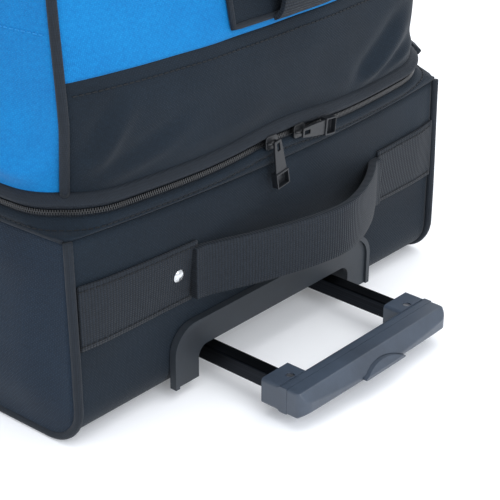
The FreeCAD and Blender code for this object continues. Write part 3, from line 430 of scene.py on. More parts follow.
def zipSag(spot):
    # the zip hangs between the corners and the sliders, and most along the near side
    level = smoothStep((spot.z - 0.1575) / 0.010) * smoothStep((0.245 - spot.z) / 0.055)
    front = 0.0055 * (1 - math.exp(-((spot.y + 0.007) / 0.05) ** 2)) * smoothStep((0.196 - spot.y) / 0.05)
    sides = smoothStep((spot.x + 0.25) / 0.2) * (
        0.0062 if spot.y < 0 else 0.003 * smoothStep((0.28 - spot.x) / 0.1))
    share = smoothStep((spot.x - 0.270) / 0.030)
    return Vector((0, 0, -(sides + (front - sides) * share) * level))


def evenRing(upper, z, count, grow=0.0, level=None):
    # evenly spaced places round the whole outline
    fine = [planPoint(upper, z, number / 500, grow, level) for number in range(2000)]
    lengths = [0.0]
    for (a, aNormal), (b, bNormal) in zip(fine, fine[1:] + fine[:1]):
        lengths.append(lengths[-1] + (b - a).length)
    result, index = [], 0
    for number in range(count):
        target = lengths[-1] * number / count
        while lengths[index + 1] < target:
            index += 1
        part = (target - lengths[index]) / max(lengths[index + 1] - lengths[index], 1e-9)
        (a, aNormal), (b, bNormal) = fine[index], fine[(index + 1) % 2000]
        spot = a.lerp(b, part)
        result.append((spot + zipSag(spot), aNormal.lerp(bNormal, part).normalized()))
    return result, lengths[-1]


def ringBand(name, rows, upper, finish, body, replaced=(), count=480, keep=None, level=None):
    # closed loops at rising heights, bridged into one band; keep drops the faces that aren't wanted
    bm = bmesh.new()
    loops = []
    for z, grow in rows:
        verts = []
        for number in range(count):
            spot, normal = planPoint(upper, z, 4 * number / count, grow, level)
            verts.append(bm.verts.new(spot + zipSag(spot)))
        loops.append([bm.edges.new((verts[i], verts[(i + 1) % count])) for i in range(count)])
    for first, second in zip(loops[:-1], loops[1:]):
        bmesh.ops.bridge_loops(bm, edges=first + second)
    if keep:
        gone = [face for face in bm.faces if not keep(face.calc_center_median())]
        bmesh.ops.delete(bm, geom=gone, context="FACES")
    return finishPiece(name, bm, finish, body, replaced, outward=True)


# ---- lower end and bottom wall ----
endWall = {"round": 0.028, "low": 0.0015, "halfY": 0.2002, "columns": 72, "rows": 150, "creases": 0.0016,
           "thick": 0.003}


def uProfile(length):
    # a point along the U of front, bottom and rear, with the outward direction
    radius, halfX, low, seam = endWall["round"], 0.300, endWall["low"], 0.157
    upright = seam - low - radius
    arc = radius * math.pi / 2
    flat = 2 * (halfX - radius)
    if length < upright:
        return 1, None, seam - length, Vector((1, 0, 0))
    length -= upright
    if length < arc:
        turn = length / radius
        return 0, halfX - radius + radius * math.cos(turn), low + radius - radius * math.sin(turn), \
            Vector((math.cos(turn), 0, -math.sin(turn)))
    length -= arc
    if length < flat:
        return 0, halfX - radius - length, low, Vector((0, 0, -1))
    length -= flat
    if length < arc:
        turn = length / radius
        return 0, -halfX + radius - radius * math.sin(turn), low + radius - radius * math.cos(turn), \
            Vector((-math.sin(turn), 0, -math.cos(turn)))
    length -= arc
    return -1, None, low + radius + length, Vector((-1, 0, 0))


uTotal = 2 * (0.157 - endWall["low"] - endWall["round"]) + math.pi * endWall["round"] \
    + 2 * (0.300 - endWall["round"])


def endWallPoint(u, v):
    y = (u - 0.5) * 2 * endWall["halfY"]
    side, x, z, outward = uProfile(v * uTotal)
    if side:
        x = side * frontX(lowerLevels, y, z)
    edge = smoothStep((endWall["halfY"] - abs(y)) / 0.03)
    above = smoothStep((z - 0.062) / 0.03)
    top = smoothStep((0.157 - z) / 0.014)
    swell = endWall["creases"] * ripple(x, y * 1.4, z * 0.8, 14.0, 3.1) * edge * above * top
    sag = 0.0022 * math.sin(math.pi * min(max((z - 0.06) / 0.097, 0), 1)) * edge if side else 0.0
    return Vector((x, y, z)) + outward * (swell + sag - 0.0006)


bm = gridPatch(endWall["columns"], endWall["rows"], endWallPoint)
for place, direction in (((0, 0.0955, 0), (0, 1, 0)), ((0, -0.0955, 0), (0, 1, 0)),
                         ((-0.2452, 0, 0), (1, 0, 0)), ((0, 0, 0.0372), (0, 0, 1)),
                         ((0, 0.1458, 0), (0, 1, 0)), ((0, 0.1842, 0), (0, 1, 0)),
                         ((0, -0.1458, 0), (0, 1, 0)), ((0, -0.1842, 0), (0, 1, 0)),
                         ((-0.2238, 0, 0), (1, 0, 0)), ((0, 0, 0.0731), (0, 0, 1))):
    bmesh.ops.bisect_plane(bm, geom=bm.verts[:] + bm.edges[:] + bm.faces[:], dist=1e-6,
                           plane_co=place, plane_no=direction)


def insideCutout(spot):
    tray = abs(spot.y) < 0.0955 and spot.x > -0.2452 and spot.z < 0.0372
    pod = 0.1458 < abs(spot.y) < 0.1842 and spot.x < -0.2238 and spot.z < 0.0731
    return tray or pod


cutAway = [face for face in bm.faces if insideCutout(face.calc_center_median())]
bmesh.ops.delete(bm, geom=cutAway, context="FACES")
lowerEndWall = finishPiece("lowerEndWall", bm, finishes["fabric_black"], "lower_bag", ["lower_gusset"],
                           outward=False)
addThickness(lowerEndWall, endWall["thick"], 1.0)

# ---- lower side panels ----
sidePanel = {"columns": 90, "rows": 30, "crown": 0.0035, "thick": 0.0045}


def lowerSidePoint(side):
    def place(u, v):
        x = (u - 0.5) * 0.600
        z = endWall["low"] + v * (0.157 - endWall["low"])
        radius = endWall["round"]
        if abs(x) > 0.300 - radius and z < endWall["low"] + radius:
            across = (abs(x) - 0.300 + radius) / radius
            down = (endWall["low"] + radius - z) / radius
            x = math.copysign(0.300 - radius + radius * across * math.sqrt(1 - down * down / 2), x)
            z = endWall["low"] + radius - radius * down * math.sqrt(1 - across * across / 2)
        rim = smoothStep((0.300 - abs(x)) / 0.05) * smoothStep((z - 0.003) / 0.04) \
            * smoothStep((0.157 - z) / 0.03)
        halfX = wallAt(lowerLevels, z)[0]
        hang = 0.007 * (1 - (x / 0.300) ** 2) * smoothStep((0.150 - z) / 0.1)
        y = sideY(lowerLevels, x, z) + hang + sidePanel["crown"] * rim \
            + 0.0012 * rim * ripple(x, side, z, 12.0, 8.0)
        y -= 0.0022 * (1 - rim)
        return Vector((x * halfX / 0.300, side * y, z))
    return place


for side, label in ((-1, "near"), (1, "far")):
    bm = gridPatch(sidePanel["columns"], sidePanel["rows"], lowerSidePoint(side))
    panel = finishPiece("lowerSidePanel_" + label, bm, finishes["fabric_side"], "lower_bag",
                        ["lower_side_panel_" + label], outward=False)
    addThickness(panel, sidePanel["thick"], -1.0 if side < 0 else 1.0)

# ---- lower piping, a bound cord that stands out from the side panel's edge ----
lowerCord = {"radius": 0.0033, "out": 0.3006, "low": 0.0034, "turn": 0.0285, "side": 0.2012}


def lowerCordPath(side):
    out, low, turn = lowerCord["out"], lowerCord["low"], lowerCord["turn"]
    points = []
    for step in range(14):
        z = 0.1575 - step / 13 * (0.1575 - low - turn)
        points.append((wallAt(lowerLevels, z)[0] + out - 0.300, z))
    for step in range(1, 14):
        angle = step / 14 * math.pi / 2
        points.append((out - turn + turn * math.cos(angle), low + turn - turn * math.sin(angle)))
    for step in range(21):
        points.append(((out - turn) * (1 - step / 10), low))
    for step in range(1, 14):
        angle = step / 14 * math.pi / 2
        points.append((-out + turn - turn * math.sin(angle), low + turn - turn * math.cos(angle)))
    for step in range(14):
        z = low + turn + step / 13 * (0.1575 - low - turn)
        points.append((-wallAt(lowerLevels, z)[0] - out + 0.300, z))
    result = []
    for x, z in points:
        hang = 0.007 * max(1 - (x / 0.300) ** 2, 0) * smoothStep((0.150 - z) / 0.1)
        result.append(Vector((x, side * (lowerCord["side"] + hang), z)))
    return result


for side, label in ((-1, "near"), (1, "far")):
    path = lowerCordPath(side)
    tubeAlong("lowerPiping_" + label, path, lowerCord["radius"], finishes["binding"], "lower_bag",
              ["lower_piping_" + label], sides=14)

# thin cord along the top seam of each side panel
for side, label in ((-1, "near"), (1, "far")):
    seam = []
    for step in range(61):
        x = -0.296 + 0.592 * step / 60
        seam.append(Vector((x, side * (sideY(lowerLevels, x, 0.157) + 0.0004), 0.1578)))
    tubeAlong("topSeamCord_" + label, seam, 0.0013, finishes["binding"], "lower_bag", (), sides=8)
print("lower walls made")

# ---- strip between the lower walls and the zip ----
facing = {"rows": [(0.1572, -0.0008), (0.1584, 0.0008), (0.1612, 0.0014), (0.1640, 0.0012), (0.1652, 0.0003),
                   (0.1658, 0.0002), (0.1664, 0.0007), (0.1690, 0.0008), (0.1710, -0.0002), (0.1722, -0.0022),
                   (0.1730, -0.0038)]}
zipFacing = ringBand("lowerZipFacing", facing["rows"], False, finishes["fabric_black"], "lower_bag",
                     ["lower_zip_facing"])
addThickness(zipFacing, 0.0012)
spots, total = evenRing(False, 0.1660, 700, 0.0007)
stitchRow("zipFacingStitches", [spot for spot, normal in spots], [normal for spot, normal in spots],
          threadFinish, "lower_bag")

# ---- zip: tape behind, two rows of teeth that mesh ----
zipChain = {"pitch": 0.0017, "tooth": (0.00092, 0.0020, 0.0020), "level": 0.176, "inset": -0.0030}


def zipTape(name, body, low, high, replaced):
    return ringBand(name, [(low, -0.0036), ((low + high) / 2, -0.0032), (high, -0.0034)], False,
                    finishes["binding"], body, replaced, keep=lambda spot: spot.x > -0.27,
                    level=zipChain["level"])


def zipTeeth(name, body, rise, shift):
    rough, total = evenRing(False, zipChain["level"], 24, zipChain["inset"])
    count = int(total / zipChain["pitch"])
    spots, total = evenRing(False, zipChain["level"], count * 2, zipChain["inset"])
    bm = bmesh.new()
    wide, deep, tall = zipChain["tooth"]
    for number, (spot, normal) in enumerate(spots):
        if number % 2 != shift or spot.x < -0.268:
            continue
        run = Vector((-normal.y, normal.x, 0))
        turn = Matrix((run, normal, Vector((0, 0, 1)))).transposed().to_4x4()
        centre = spot + Vector((0, 0, rise * 0.0008))
        bmesh.ops.create_cube(bm, size=1.0, matrix=Matrix.Translation(centre) @ turn
                              @ Matrix.Diagonal((wide, deep, tall, 1.0)))
    return finishPiece(name, bm, finishes["zip_black"], body, (), smooth=False, outward=False)


lowerTape = zipTape("lowerZipTape", "lower_bag", 0.1722, 0.1754, ["lower_zip_teeth"])
addThickness(lowerTape, 0.0006)
upperTape = zipTape("upperZipTape", "upper_bag", 0.1766, 0.1802, ["upper_zip_teeth"])
addThickness(upperTape, 0.0006)
zipTeeth("lowerZipTeeth", "lower_bag", -1, 0)
zipTeeth("upperZipTeeth", "upper_bag", 1, 1)
print("zip made")

# ---- upper compartment walls ----
upperWall = {"crown": 0.0045, "creases": 0.0030, "thick": 0.0032, "low": 0.1850, "high": 0.412}


def fold(along, across, start, run, width, depth):
    # one soft crease: a ridge with a valley beside it, from start along run
    step = Vector((along, across)) - Vector(start)
    length = Vector(run).length
    heading = Vector(run) / length
    on = step.dot(heading) / length
    off = step.x * heading.y - step.y * heading.x
    fade = smoothStep(on / 0.25) * smoothStep((1 - on) / 0.45) if 0 < on < 1 else 0.0
    return depth * fade * (math.exp(-(off / width) ** 2) - 0.8 * math.exp(-((off + 1.7 * width) / width) ** 2))


# creases on the front as (start, run, width, depth) in metres across and up
frontFolds = [((-0.197, 0.188), (0.055, 0.058), 0.0075, 0.0042), ((-0.185, 0.187), (0.10, 0.032), 0.0060, 0.0022),
              ((0.075, 0.184), (0.085, 0.050), 0.0080, 0.0045), ((0.105, 0.184), (0.060, 0.022), 0.0050, 0.0030),
              ((-0.175, 0.405), (0.03, -0.11), 0.0110, 0.0036), ((-0.140, 0.400), (0.045, -0.10), 0.0120, 0.0030)]
sideFolds = [((0.285, 0.195), (-0.10, 0.030), 0.0090, 0.0040), ((0.275, 0.232), (-0.09, -0.012), 0.0100, 0.0030),
             ((0.270, 0.400), (-0.06, -0.10), 0.0120, 0.0030), ((-0.270, 0.200), (0.12, 0.04), 0.0100, 0.0035)]


def upperPoint(side, u, z, out=0.0):
    # the cloth between two corner seams: it swells in the middle, and hangs over the zip
    spot, normal = planPoint(True, z, side + min(max(u, 0.0), 0.99999))
    edge = smoothStep(min(u, 1 - u) / 0.09)
    rise = smoothStep((z - 0.183) / 0.022) * smoothStep((0.413 - z) / 0.03)
    broad = ripple(spot.x, spot.y, z * 1.3, 9.0, 5.0) + 0.5 * ripple(spot.x, spot.y, z, 23.0, 2.0)
    swell = upperWall["crown"] + upperWall["creases"] * broad
    if side == 3:
        swell += 0.0055 * math.exp(-((z - 0.203) / 0.020) ** 2) * smoothStep((spot.x + 0.2) / 0.3)
        swell += sum(fold(spot.x, z, *crease) for crease in sideFolds)
    if side == 1:
        swell += sum(fold(spot.x, z, *crease) for crease in sideFolds)
    if side == 0:
        swell += sum(fold(spot.y, z, *crease) for crease in frontFolds)
        swell -= 0.0010 * math.exp(-((z - 0.262) / 0.0022) ** 2)
    spot = spot + normal * (swell * edge * rise + out)
    return spot + zipSag(spot)


def wallPatch(side, low, high, columns, rows):
    def place(u, v):
        return upperPoint(side, u, low + (high - low) * v)
    return gridPatch(columns, rows, place)


panels = [("upperFrontBand", 0, upperWall["low"], 0.2622, 150, 36, "fabric_black", "upper_front_band"),
          ("upperFrontPanel", 0, 0.2616, upperWall["high"], 150, 60, "fabric_blue", "upper_front_panel"),
          ("upperRearPanel", 2, upperWall["low"], upperWall["high"], 120, 70, "fabric_blue", "upper_rear_panel"),
          ("upperSidePanel_near", 3, upperWall["low"], upperWall["high"], 180, 80, "fabric_blue", "upper_side_panel_near"),
          ("upperSidePanel_far", 1, upperWall["low"], upperWall["high"], 180, 80, "fabric_blue", "upper_side_panel_far")]
for name, side, low, high, columns, rows, slot, node in panels:
    panel = finishPiece(name, wallPatch(side, low, high, columns, rows), finishes[slot], "upper_bag", [node],
                        outward=False)
    addThickness(panel, upperWall["thick"], -1.0)

# topstitching below the band seam and along the side seam
bandRun = [upperPoint(0, 0.02 + 0.96 * step / 120, 0.2530, 0.0003) for step in range(121)]
stitchRow("bandStitches", bandRun, [(1, 0, 0)] * len(bandRun), threadFinish, "upper_bag")
for side, turn, label in ((-1, 3, "near"), (1, 1, "far")):
    run = [upperPoint(turn, 0.01 + 0.98 * step / 150, 0.2905, 0.0002) for step in range(151)]
    stitchRow("sideSeamStitches_" + label, run, [(0, side, 0)] * len(run), threadBlue, "upper_bag")

# binding over the upper zip tape
bindingRows = [(0.1798, -0.0040), (0.1800, -0.0010), (0.1810, 0.0016), (0.1828, 0.0030), (0.1850, 0.0033),
               (0.1870, 0.0026), (0.1882, 0.0012), (0.1886, -0.0012), (0.1884, -0.0040)]
binding = ringBand("upperZipBinding", bindingRows, True, finishes["binding"], "upper_bag",
                   ["upper_zip_binding"])
addThickness(binding, 0.0012)

# corner piping: a covered cord in each upright seam
for corners, label in (((0, 3), "near"), ((1, 2), "far")):
    bm = bmesh.new()
    for corner in corners:
        path, rings = [], []
        for step in range(49):
            z = 0.1872 + (0.4045 - 0.1872) * step / 48
            spot, normal = planPoint(True, z, corner + 0.00001, 0.0010)
            path.append(spot + zipSag(spot))
        for number, spot in enumerate(path):
            heading = path[min(number + 1, 48)] - path[max(number - 1, 0)]
            turn = heading.to_track_quat("Z", "Y").to_matrix().to_4x4()
            made = bmesh.ops.create_circle(bm, segments=12, radius=0.0034,
                                           matrix=Matrix.Translation(spot) @ turn)["verts"]
            rings.append(list({edge for vert in made for edge in vert.link_edges}))
        for first, second in zip(rings[:-1], rings[1:]):
            bmesh.ops.bridge_loops(bm, edges=first + second)
    bmesh.ops.holes_fill(bm, edges=[edge for edge in bm.edges if edge.is_boundary])
    finishPiece("upperPiping_" + label, bm, finishes["binding"], "upper_bag", ["upper_piping_" + label])
print("upper walls made")

# ---- haul strip and padded haul handle ----
haul = {"low": 0.076, "high": 0.124, "thick": 0.0016, "loopLow": 0.080, "loopHigh": 0.119, "loopThick": 0.0068}


def onEndWall(y, z, out):
    v = (0.157 - z) / uTotal
    return endWallPoint(y / (2 * endWall["halfY"]) + 0.5, v) + Vector((out, 0, 0))


for first, last in ((-0.197, -0.094), (0.114, 0.197)):
    def haulStripPoint(u, v, first=first, last=last):
        return onEndWall(first + (last - first) * u, haul["low"] + v * (haul["high"] - haul["low"]), 0.0010)
    label = "near" if first < 0 else "far"
    strip = finishPiece("haulStrip_" + label, gridPatch(50, 12, haulStripPoint), finishes["webbing_black"],
                        "lower_bag", ["haul_strip"], outward=False)
    addThickness(strip, haul["thick"], 1.0)
    for z in (0.0795, 0.1205):
        run = [onEndWall(first + (last - first) * step / 40, z, 0.0029) for step in range(41)]
        stitchRow("haulStripStitches_%s_%d" % (label, round(z * 1000)), run, [(1, 0, 0)] * len(run), threadFinish,
                  "lower_bag")

# across the wall and out from it, so the loop rises slowly and turns in sharply at the far side
haulPath = [(-0.098, 0.0056), (-0.088, 0.0060), (-0.070, 0.0118), (-0.038, 0.0232), (-0.012, 0.0308),
            (0.012, 0.0346), (0.034, 0.0350), (0.056, 0.0300), (0.078, 0.0212), (0.095, 0.0120), (0.106, 0.0050),
            (0.115, 0.0042)]


def curveThrough(knots, steps):
    # a smooth run through the knots
    result = []
    for number in range(len(knots) - 1):
        p0 = Vector(knots[max(number - 1, 0)])
        p1, p2 = Vector(knots[number]), Vector(knots[number + 1])
        p3 = Vector(knots[min(number + 2, len(knots) - 1)])
        for step in range(steps):
            t = step / steps
            result.append(0.5 * (2 * p1 + (p2 - p0) * t + (2 * p0 - 5 * p1 + 4 * p2 - p3) * t * t
                                 + (3 * p1 - p0 - 3 * p2 + p3) * t ** 3))
    result.append(Vector(knots[-1]))
    return result


def strapPiece(name, knots, acrossLow, acrossHigh, thick, put, finish, body, replaced, rows=8, crown=0.0012,
               steps=6, flip=False):
    path = curveThrough(knots, steps)
    lengths = [0.0]
    for a, b in zip(path[:-1], path[1:]):
        lengths.append(lengths[-1] + (b - a).length)
    total = lengths[-1]
    bm = bmesh.new()
    bmesh.ops.create_grid(bm, x_segments=len(path) - 1, y_segments=rows, size=0.5)
    layer = bm.loops.layers.uv.new("cloth")
    for face in bm.faces:
        for loop in face.loops:
            number = int(round((loop.vert.co.x + 0.5) * (len(path) - 1)))
            loop[layer].uv = (lengths[number], acrossLow + (acrossHigh - acrossLow) * (loop.vert.co.y + 0.5))
    for vert in bm.verts:
        number = int(round((vert.co.x + 0.5) * (len(path) - 1)))
        v = vert.co.y + 0.5
        before, after = path[max(number - 1, 0)], path[min(number + 1, len(path) - 1)]
        run = (after - before).normalized()
        normal = Vector((-run.y, run.x)) * (-1 if flip else 1)
        puff = crown * (1 - (2 * v - 1) ** 4) * smoothStep(min(number, len(path) - 1 - number) / 6)
        vert.co = put(path[number] + normal * puff, acrossLow + (acrossHigh - acrossLow) * v)
    piece = finishPiece(name, bm, finish, body, replaced)
    addThickness(piece, thick, 0.0)
    addBevel(piece, min(thick * 0.32, 0.0016), 3, 50)
    return piece


def putHaul(spot, across):
    y, out = spot
    return onEndWall(max(min(y, 0.199), -0.199), 0.098, 0.0) + Vector((out, 0, across - 0.098))


strapPiece("haulHandle", haulPath, haul["loopLow"], haul["loopHigh"], haul["loopThick"], putHaul,
           finishes["webbing_black"], "lower_bag", ["haul_handle"], rows=8, crown=0.0008)

# ---- end patch with a bound edge, and its grab loop ----
patch = {"half": 0.061, "low": 0.2690, "high": 0.402}


def onFront(y, z, out):
    shape = wallAt(upperLevels, z)
    return upperPoint(0, (y + shape[1]) / (2 * shape[1]), z, out)


def patchPoint(u, v):
    return onFront((u - 0.5) * 2 * patch["half"], patch["low"] + v * (patch["high"] - patch["low"]), 0.0010)


patchPiece = finishPiece("endPatch", gridPatch(30, 34, patchPoint), finishes["fabric_black"], "upper_bag",
                         ["end_patch"], outward=False)
addThickness(patchPiece, 0.0016, 1.0)
rimRun = [(-patch["half"], patch["high"]), (-patch["half"], patch["low"]), (patch["half"], patch["low"]),
          (patch["half"], patch["high"]), (-patch["half"], patch["high"])]
rimPoints = []
for (y0, z0), (y1, z1) in zip(rimRun[:-1], rimRun[1:]):
    for step in range(20):
        t = step / 20
        rimPoints.append(onFront(y0 + (y1 - y0) * t, z0 + (z1 - z0) * t, 0.0022))
tubeAlong("endPatchBinding", rimPoints, 0.0022, finishes["binding"], "upper_bag", (), closed=True)

grabKnots = [(0.2680, 0.0050), (0.2700, 0.0090), (0.2780, 0.0150), (0.300, 0.0215), (0.324, 0.0245),
             (0.342, 0.0250), (0.360, 0.0195), (0.374, 0.0085), (0.384, 0.0042), (0.392, 0.0040)]


def putGrab(spot, across):
    z, out = spot
    return onFront(across, z, 0.0) + Vector((out - 0.0010, 0, 0))


strapPiece("endGrabLoop", grabKnots, -0.024, 0.034, 0.0038, putGrab, finishes["webbing_black"], "upper_bag",
           ["end_grab_loop"], rows=6, crown=0.0004)

# folded tab at the far end of the zip
tab = {"corner": 1.03, "level": 0.1885, "length": 0.020, "width": 0.020, "thick": 0.0050}
spot, normal = planPoint(True, tab["level"], tab["corner"])
outward = Vector((0.55, 0.70, -0.75)).normalized()
side = outward.cross(Vector((0, 0, 1))).normalized()
turn = Matrix((side, outward, side.cross(outward))).transposed().to_4x4()
bm = bmesh.new()
bmesh.ops.create_cube(bm, size=1.0, matrix=Matrix.Translation(spot + outward * tab["length"] * 0.42) @ turn
                      @ Matrix.Diagonal((tab["width"], tab["length"], tab["thick"], 1.0)))
bmesh.ops.subdivide_edges(bm, edges=bm.edges[:], cuts=3, use_grid_fill=True)
tabPiece = finishPiece("sideTab", bm, finishes["webbing_black"], "upper_bag", ["side_tab"])
addRounding(tabPiece, 1)

# ---- zip sliders and pulls ----
zipArc = (0.203 ** 2 + 0.016 ** 2) / (2 * 0.016)
zipCentre = 0.314 - zipArc


def atSlider(y):
    return Matrix.Translation((zipCentre, 0, 0)) @ Matrix.Rotation(math.asin(y / zipArc), 4, "Z") \
        @ Matrix.Translation((zipArc, 0, 0.176))


def sliderPiece(name, y, body, replaced):
    bm = bmesh.new()
    place = atSlider(y)
    plate = bmesh.ops.create_cube(bm, size=1.0, matrix=place @ Matrix.Translation((0.0010, 0, 0))
                                  @ Matrix.Diagonal((0.0016, 0.0118, 0.0102, 1.0)))["verts"]
    upright = [edge for edge in {e for vert in plate for e in vert.link_edges}
               if abs((edge.verts[0].co - edge.verts[1].co).dot(place.to_3x3() @ Vector((1, 0, 0)))) > 0.001]
    bmesh.ops.bevel(bm, geom=upright, offset=0.0024, affect="EDGES", segments=4, profile=0.5, material=-1)
    arch = []
    for step in range(13):
        angle = math.pi * step / 12
        arch.append(place @ Vector((0.0018 + 0.0030 * math.sin(angle), -0.0046 * math.cos(angle), 0)))
    rings = []
    for number, point in enumerate(arch):
        before, after = arch[max(number - 1, 0)], arch[min(number + 1, 12)]
        turn = (after - before).to_track_quat("Z", "Y").to_matrix().to_4x4()
        made = bmesh.ops.create_circle(bm, segments=8, radius=0.0010,
                                       matrix=Matrix.Translation(point) @ turn)["verts"]
        rings.append(list({edge for vert in made for edge in vert.link_edges}))
    for first, second in zip(rings[:-1], rings[1:]):
        bmesh.ops.bridge_loops(bm, edges=first + second)
    bmesh.ops.holes_fill(bm, edges=[edge for edge in bm.edges if edge.is_boundary])
    piece = finishPiece(name, bm, finishes["zip_metal"], body, replaced)
    addBevel(piece, 0.0003, 2)
    return piece


sliderPiece("zipSlider_near", -0.022, "slider_near", ["zip_slider_near"])
sliderPiece("zipSlider_far", 0.008, "slider_far", ["zip_slider_far"])


def pullPiece(name, y, turned, body, replaced):
    # a tapered tab with a slot for the slider's bail at one end and an open box at the other
    bm = bmesh.new()
    outline = [(-0.0034, 0.0032), (0.0034, 0.0032), (0.0044, -0.0060), (0.0056, -0.0230),
               (-0.0056, -0.0230), (-0.0044, -0.0060)]
    bm.faces.new([bm.verts.new((0.0062, across, down)) for across, down in outline])
    for height in (0.0012, -0.0050):
        bmesh.ops.bisect_plane(bm, geom=bm.verts[:] + bm.edges[:] + bm.faces[:], plane_co=(0, 0, height),
                               plane_no=(0, 0, 1))
    for across in (-0.0015, 0.0015):
        bmesh.ops.bisect_plane(bm, geom=bm.verts[:] + bm.edges[:] + bm.faces[:], plane_co=(0, across, 0),
                               plane_no=(0, 1, 0))
    gone = [face for face in bm.faces if abs(face.calc_center_median().y) < 0.0015
            and -0.0050 < face.calc_center_median().z < 0.0012]
    bmesh.ops.delete(bm, geom=gone, context="FACES")
    bmesh.ops.solidify(bm, geom=bm.faces[:], thickness=0.0018)
    box = bmesh.ops.create_cube(bm, size=1.0, matrix=Matrix.Translation((0.0062, 0, -0.0278))
                                @ Matrix.Diagonal((0.0056, 0.0130, 0.0116, 1.0)))["verts"]
    outer = [face for face in {face for vert in box for face in vert.link_faces}
             if face.calc_center_median().x > 0.0089]
    bmesh.ops.inset_region(bm, faces=outer, thickness=0.0016)
    bmesh.ops.translate(bm, vec=(0, 0, -0.0004), verts=list({vert for face in outer for vert in face.verts}))
    bmesh.ops.inset_region(bm, faces=outer, thickness=0.0002)
    bmesh.ops.translate(bm, vec=(-0.0042, 0, 0), verts=list({vert for face in outer for vert in face.verts}))
    bmesh.ops.recalc_face_normals(bm, faces=bm.faces[:])
    turn = Matrix.Rotation(math.radians(84 if turned else 10), 4, "X")
    bmesh.ops.transform(bm, matrix=atSlider(y) @ turn, verts=bm.verts[:])
    piece = finishPiece(name, bm, finishes["zip_metal"], body, replaced, smooth=False)
    addBevel(piece, 0.00045, 3, 40)
    return piece


pullPiece("zipPull_near", -0.022, False, "pull_near", ["zip_pull_near"])
pullPiece("zipPull_far", 0.008, True, "pull_far", ["zip_pull_far"])
print("straps and sliders made")

# ---- top lid ----
lid = {"crown": 0.0035}


def insideOutline(p, q, level, grow):
    # a square laid onto the rounded outline: each ring of the square follows the outline, shrunk
    size = max(abs(p), abs(q))
    if size < 1e-6:
        return 0.0, 0.0
    if p == size:
        turn = (q / size + 1) / 2
    elif q == size:
        turn = 1 + (1 - p / size) / 2
    elif -p == size:
        turn = 2 + (1 - q / size) / 2
    else:
        turn = 3 + (p / size + 1) / 2
    spot, normal = planPoint(True, level, turn % 4, grow)
    return spot.x * size, spot.y * size


def lidPoint(u, v):
    p, q = 2 * u - 1, 2 * v - 1
    x, y = insideOutline(p, q, 0.412, -0.001)
    rim = smoothStep((1 - abs(p)) / 0.05) * smoothStep((1 - abs(q)) / 0.07)
    inner = smoothStep((1 - abs(p)) / 0.3) * smoothStep((1 - abs(q)) / 0.35)
    z = 0.4160 + 0.0075 * rim + (lid["crown"] - 0.003 + 0.0015 * ripple(x, y, 0, 8.0, 4.0)) * inner
    return Vector((x, y, z))


# stiff board between the two compartments, cut to the rounded corners
boardLow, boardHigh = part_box("divider_panel")


def boardPoint(u, v):
    x, y = insideOutline(2 * u - 1, 2 * v - 1, 0.184, -0.0075)
    return Vector((x, y, boardHigh.z))


board = finishPiece("dividerBoard", gridPatch(40, 28, boardPoint), finishes["board"], "upper_bag",
                    ["divider_panel"], outward=False)
addThickness(board, boardHigh.z - boardLow.z, -1.0)

lidPiece = finishPiece("topLid", gridPatch(100, 70, lidPoint), finishes["fabric_blue"], "lid", ["top_lid"],
                       outward=False)
addThickness(lidPiece, 0.003, -1.0)
lidEdge = ringBand("lidBinding", [(0.4126, -0.003), (0.4127, 0.0006), (0.4145, 0.0016), (0.4165, 0.0008),
                                  (0.4172, -0.002)], True, finishes["binding"], "lid", (),
                   level=0.412)
addThickness(lidEdge, 0.0012)
rimEdge = ringBand("rimBinding", [(0.4030, -0.001), (0.4035, 0.0010), (0.4080, 0.0018), (0.4115, 0.0010),
                                  (0.4121, -0.002)], True, finishes["binding"], "upper_bag", ["lid_zip"])
addThickness(rimEdge, 0.0012)

# ---- carry handles, with their sewn-down ends on the side panels ----
carry = {"width": 0.030, "thick": 0.0055}
for side, label in ((-1, "near"), (1, "far")):
    low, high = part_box("carry_handle_" + label)
    yMid = (low.y + high.y) / 2
    half, top = 0.100, 0.396
    knots = [(-half, top), (-half + 0.003, top - 0.022), (-half + 0.016, top - 0.058), (-half + 0.045, top - 0.090),
             (0, top - 0.101), (half - 0.045, top - 0.090), (half - 0.016, top - 0.058), (half - 0.003, top - 0.022),
             (half, top)]
    path = curveThrough(knots, 6)
    bm = bmesh.new()
    bmesh.ops.create_grid(bm, x_segments=len(path) - 1, y_segments=6, size=0.5)
    layer = bm.loops.layers.uv.new("cloth")
    for face in bm.faces:
        for loop in face.loops:
            loop[layer].uv = ((loop.vert.co.x + 0.5) * 0.32, loop.vert.co.y * carry["width"])
    for vert in bm.verts:
        number = int(round((vert.co.x + 0.5) * (len(path) - 1)))
        before, after = path[max(number - 1, 0)], path[min(number + 1, len(path) - 1)]
        run = (after - before).normalized()
        spot = path[number] + Vector((-run.y, run.x)) * vert.co.y * carry["width"]
        vert.co = Vector((spot.x, yMid, spot.y))
    handle = finishPiece("carryHandle_" + label, bm, finishes["webbing_black"], "handle_" + label,
                         ["carry_handle_" + label])
    addThickness(handle, carry["thick"], 0.0)
    addBevel(handle, 0.0015, 3, 50)
    for end in (-1, 1):
        def tapePoint(u, v, end=end, side=side):
            x = end * 0.100 + (u - 0.5) * 0.034
            z = 0.268 + v * 0.136
            part = 0.5 + x / (2 * wallAt(upperLevels, z)[0]) * (1 if side < 0 else -1)
            return upperPoint(3 if side < 0 else 1, part, z, 0.0009)

        tapeName = "carryTape_%s_%s" % (label, "front" if end > 0 else "rear")
        tape = finishPiece(tapeName, gridPatch(6, 30, tapePoint), finishes["webbing_black"], "upper_bag", (),
                           outward=False, turned=True)
        addThickness(tape, 0.0016, 1.0 if side < 0 else -1.0)

